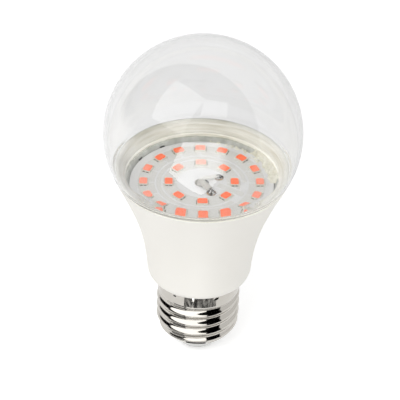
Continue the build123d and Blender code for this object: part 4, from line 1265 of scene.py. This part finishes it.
world = bpy.data.worlds.new("white_room")
bpy.context.scene.world = world
world.use_nodes = True
room = world.node_tree
rays = rays_of(room)
mirrored = calculate(room, "MULTIPLY", rays["Is Glossy Ray"], rays["Is Singular Ray"])
feed(room, room.nodes["Background"], {
    "Color": ramp(room, mirrored, 0, 1, 1.0, ROOM_IN_MIRROR),
    "Strength": seen_or_unseen(room, 1.0, WORLD_LIGHT),
})
for name, (place, size, power) in LAMPS.items():
    lamp = bpy.data.objects.new(name, bpy.data.lights.new(name, "AREA"))
    lamp.data.shape = "SQUARE"
    lamp.data.size = size
    lamp.data.energy = power
    lamp.location = place
    lamp.rotation_euler = (LAMP_AIM - Vector(place)).to_track_quat("-Z", "Y").to_euler()
    lamp.visible_glossy = False
    lamp.visible_transmission = False
    lamp.visible_camera = False
    bpy.context.scene.collection.objects.link(lamp)
print("lamps:", list(LAMPS))

# %% [markdown]
# Glass and polished metal show only what stands round them, so a photographer hangs cards and
# softboxes beside them. These stage pieces are seen in gloss and through glass alone and give
# the object no light. The globe alone mirrors a dark dome, for the room behind the camera, and
# three softboxes. The cap alone mirrors the walls: four flags and one broad softbox. It also
# mirrors the cards that lie on the table, one of them with blotches, and a small glint.

# %% Flags and softboxes
GLOBE_MIDDLE = Vector((0.0, 0.0, GLOBE_CENTRE)) * MM
DIRECT_DEPTH = 0.5
DOME_FADE_HEIGHT = 22.0
DOME_FINENESS = 6
DOME_RADIUS = 75.0
DOME_AXIS = (-115.1, 22.9)
DOME_HALF_ANGLE = radians(76.8)
DOME_FLOOR = 5.0
DOME_FADE = ("Z", GLOBE_CENTRE + DOME_FLOOR, GLOBE_CENTRE + DOME_FLOOR + DOME_FADE_HEIGHT)
DOME_GLOW = 0.12
SOFTBOX_RADIUS = 72.0
SOFTBOXES = {
    "main_softbox": {
        "corners": [(-174.0, 65.7), (-89.4, 65.0), (-111.9, 30.2), (-151.6, 32.0)],
        "strength": 2.0,
        "fade": None,
    },
    "second_softbox": {
        "corners": [(-89.3, 64.4), (-48.0, 56.4), (-61.0, 46.0), (-95.0, 49.6)],
        "strength": 1.9,
        "fade": ("X", 27.5, 23.0),
    },
    "veil_softbox": {
        "corners": [(-109.2, 24.8), (-118.2, -5.3), (-89.6, -24.9), (-66.0, 7.0), (-61.0, 23.7)],
        "strength": 5.6,
        "fade": ("X", 30.0, 12.0),
    },
}
WALL_STEPS = 40
WALL_RADIUS = 250.0
WALLS = {
    "right_flag": ((291.0, 329.0), (0.0, 0.0), (285.0, 285.0), 0.0),
    "left_flag": ((150.0, 192.0), (28.0, 62.0), (200.0, 200.0), 0.0),
    "low_flag": ((192.0, 246.0), (0.0, 0.0), (118.0, 4.0), 0.04),
    "high_flag": ((260.0, 291.0), (232.0, 95.0), (300.0, 300.0), 0.01),
}
SOFTBOX_WALL = ((192.0, 291.0), (0.0, 0.0), (262.0, 262.0), 2.3)
SOFTBOX_WALL_RADIUS = 256.0
CARD_REACH = (38.0, 60.0)
CARD_TURN = (-123.0, -46.0)
CARD_LIFT = 0.2
BLOTCH_SCALE = (160.0, 520.0, 500.0)
BLOTCH_DETAIL = 3.0
BLOTCH_RANGE = (0.46, 0.7)
BLOTCH_GLOW = 1.2
TABLE_LIFT = 0.5
TABLE_CARDS = {
    "left_far_card": ((62.0, 250.0), (192.0, 240.0), 0.15),
    "left_near_card": ((16.0, 36.0), (208.0, 242.0), 0.25),
    "middle_far_card": ((62.0, 250.0), (244.0, 290.0), 1.6),
    "middle_near_card": ((18.0, 36.0), (244.0, 290.0), 1.5),
    "right_far_card": ((52.0, 250.0), (291.0, 329.0), 0.0),
    "dark_line_card": ((45.2, 50.0), (268.0, 306.0), 0.0),
    "foot_card": ((9.0, 17.0), (244.0, 292.0), 0.0),
}
GLINT_TURN = radians(-101.5)
GLINT_RADIUS = 44.6
GLINT_LIFT = 0.8
GLINT_SIZE = 1.8
GLINT_SLENDER = 0.45
GLINT_SIDES = 24
GLINT_GLOW = 9.0


def direction(azimuth, elevation):
    """A unit vector from azimuth and elevation in degrees."""
    a, e = radians(azimuth), radians(elevation)
    return Vector((cos(a) * cos(e), sin(a) * cos(e), sin(e)))


def hang(name, bm, strength, globe_alone=False, fade=None, in_glass=False):
    """Hangs a glowing piece, black at zero, that gloss rays can see, and glass rays if wanted.

    The globe's mirror shows it alone or not at all. A fade is an axis with two places in mm.
    """
    card = new_object(name, bm)
    material, tree = new_tree(name)
    tree.nodes.remove(tree.nodes["Principled BSDF"])
    light = add_node(tree, "ShaderNodeEmission", {"Strength": strength}, name="light").outputs["Emission"]
    clear = add_node(tree, "ShaderNodeBsdfTransparent").outputs["BSDF"]
    rays = rays_of(tree)
    if globe_alone:
        direct = calculate(tree, "LESS_THAN", rays["Diffuse Depth"], DIRECT_DEPTH)
        seen = calculate(tree, "MULTIPLY", rays["Is Singular Ray"], direct)
        if fade:
            seen = calculate(tree, "MULTIPLY", axis_ramp(tree, *fade, smooth=True), seen)
        show_either(tree, seen, clear, light)
    else:
        show_either(tree, rays["Is Singular Ray"], light, clear)
    wear(card, material)
    card.visible_camera = False
    card.visible_diffuse = False
    card.visible_shadow = False
    card.visible_volume_scatter = False
    card.visible_transmission = in_glass
    return tree


def make_dome():
    """Part of a ball round the globe, cut by one plane that gives the dark oval its edge."""
    bm = bmesh.new()
    bmesh.ops.create_icosphere(bm, subdivisions=DOME_FINENESS, radius=DOME_RADIUS * MM)
    side_cut = (direction(*DOME_AXIS), cos(DOME_HALF_ANGLE) * DOME_RADIUS)
    for normal, depth in (side_cut, (Vector((0, 0, 1)), DOME_FLOOR)):
        geometry = bm.verts[:] + bm.edges[:] + bm.faces[:]
        bmesh.ops.bisect_plane(bm, geom=geometry, plane_co=normal * depth * MM, plane_no=normal,
                               clear_inner=True)
    bmesh.ops.translate(bm, vec=GLOBE_MIDDLE, verts=bm.verts)
    hang("dark_room", bm, DOME_GLOW, globe_alone=True, fade=DOME_FADE, in_glass=True)


def make_softbox(name, corners, strength, fade):
    bm = bmesh.new()
    places = [GLOBE_MIDDLE + direction(*corner) * SOFTBOX_RADIUS * MM for corner in corners]
    bm.faces.new([bm.verts.new(place) for place in places])
    hang(name, bm, strength, globe_alone=True, fade=fade)


def spin_strip(bm, places, turn):
    """Draws an edge between two places round the axis, from one azimuth to another in degrees."""
    ends = [bm.verts.new(place) for place in places]
    bmesh.ops.spin(bm, geom=[*ends, bm.edges.new(ends)], cent=(0, 0, 0), axis=(0, 0, 1),
                   angle=radians(turn[1] - turn[0]), steps=WALL_STEPS, use_merge=False)


def make_wall(name, turn, lower, upper, strength, radius=WALL_RADIUS):
    """A card round the bulb; its lower and upper edges may rise or fall from start to end."""
    bm = bmesh.new()
    spin_strip(bm, [turned(radius, radians(turn[0]), height) for height in (0, 1)], turn)
    for vert in bm.verts:
        past = (degrees(atan2(vert.co.y, vert.co.x)) - turn[0] + 1) % 360 - 1
        low, high = upper if vert.co.z > 0 else lower
        vert.co.z = (low + (high - low) * past / (turn[1] - turn[0])) * MM
    hang(name, bm, strength)


def table_strip(reach, turn, height=TABLE_LIFT):
    """A flat strip just above the table between two radii."""
    bm = bmesh.new()
    spin_strip(bm, [turned(radius, radians(turn[0]), height) for radius in reach], turn)
    return bm


def make_card():
    """A dark card on the table with blotches, which the band of the cap mirrors."""
    tree = hang("table_card", table_strip(CARD_REACH, CARD_TURN, CARD_LIFT), 1.0)
    feeds = {"Vector": object_place(tree), "Scale": BLOTCH_SCALE}
    stretched = add_node(tree, "ShaderNodeMapping", feeds).outputs["Vector"]
    feeds = {"Vector": stretched, "Scale": 1.0, "Detail": BLOTCH_DETAIL}
    blotches = add_node(tree, "ShaderNodeTexNoise", feeds).outputs["Fac"]
    strength = ramp(tree, blotches, *BLOTCH_RANGE, 0.0, BLOTCH_GLOW)
    feed(tree, tree.nodes["light"], {"Strength": strength})


def make_glint():
    """A small bright spot on the dark card."""
    bm = bmesh.new()
    bmesh.ops.create_circle(bm, cap_ends=True, segments=GLINT_SIDES, radius=GLINT_SIZE * MM)
    bmesh.ops.scale(bm, vec=(1.0, GLINT_SLENDER, 1.0), verts=bm.verts)
    bmesh.ops.translate(bm, vec=turned(GLINT_RADIUS, GLINT_TURN, GLINT_LIFT), verts=bm.verts)
    hang("table_glint", bm, GLINT_GLOW)


make_dome()
for name, box in SOFTBOXES.items():
    make_softbox(name, **box)
for name, wall in WALLS.items():
    make_wall(name, *wall)
make_wall("front_softbox", *SOFTBOX_WALL, SOFTBOX_WALL_RADIUS)
make_card()
for name, (reach, turn, strength) in TABLE_CARDS.items():
    hang(name, table_strip(reach, turn), strength)
make_glint()
print("softboxes, walls and table cards:", len(SOFTBOXES), len(WALLS) + 1, len(TABLE_CARDS) + 1)

# %% [markdown]
# Last come the colour settings.

# %% Finish
bpy.context.scene.view_settings.view_transform = "Standard"
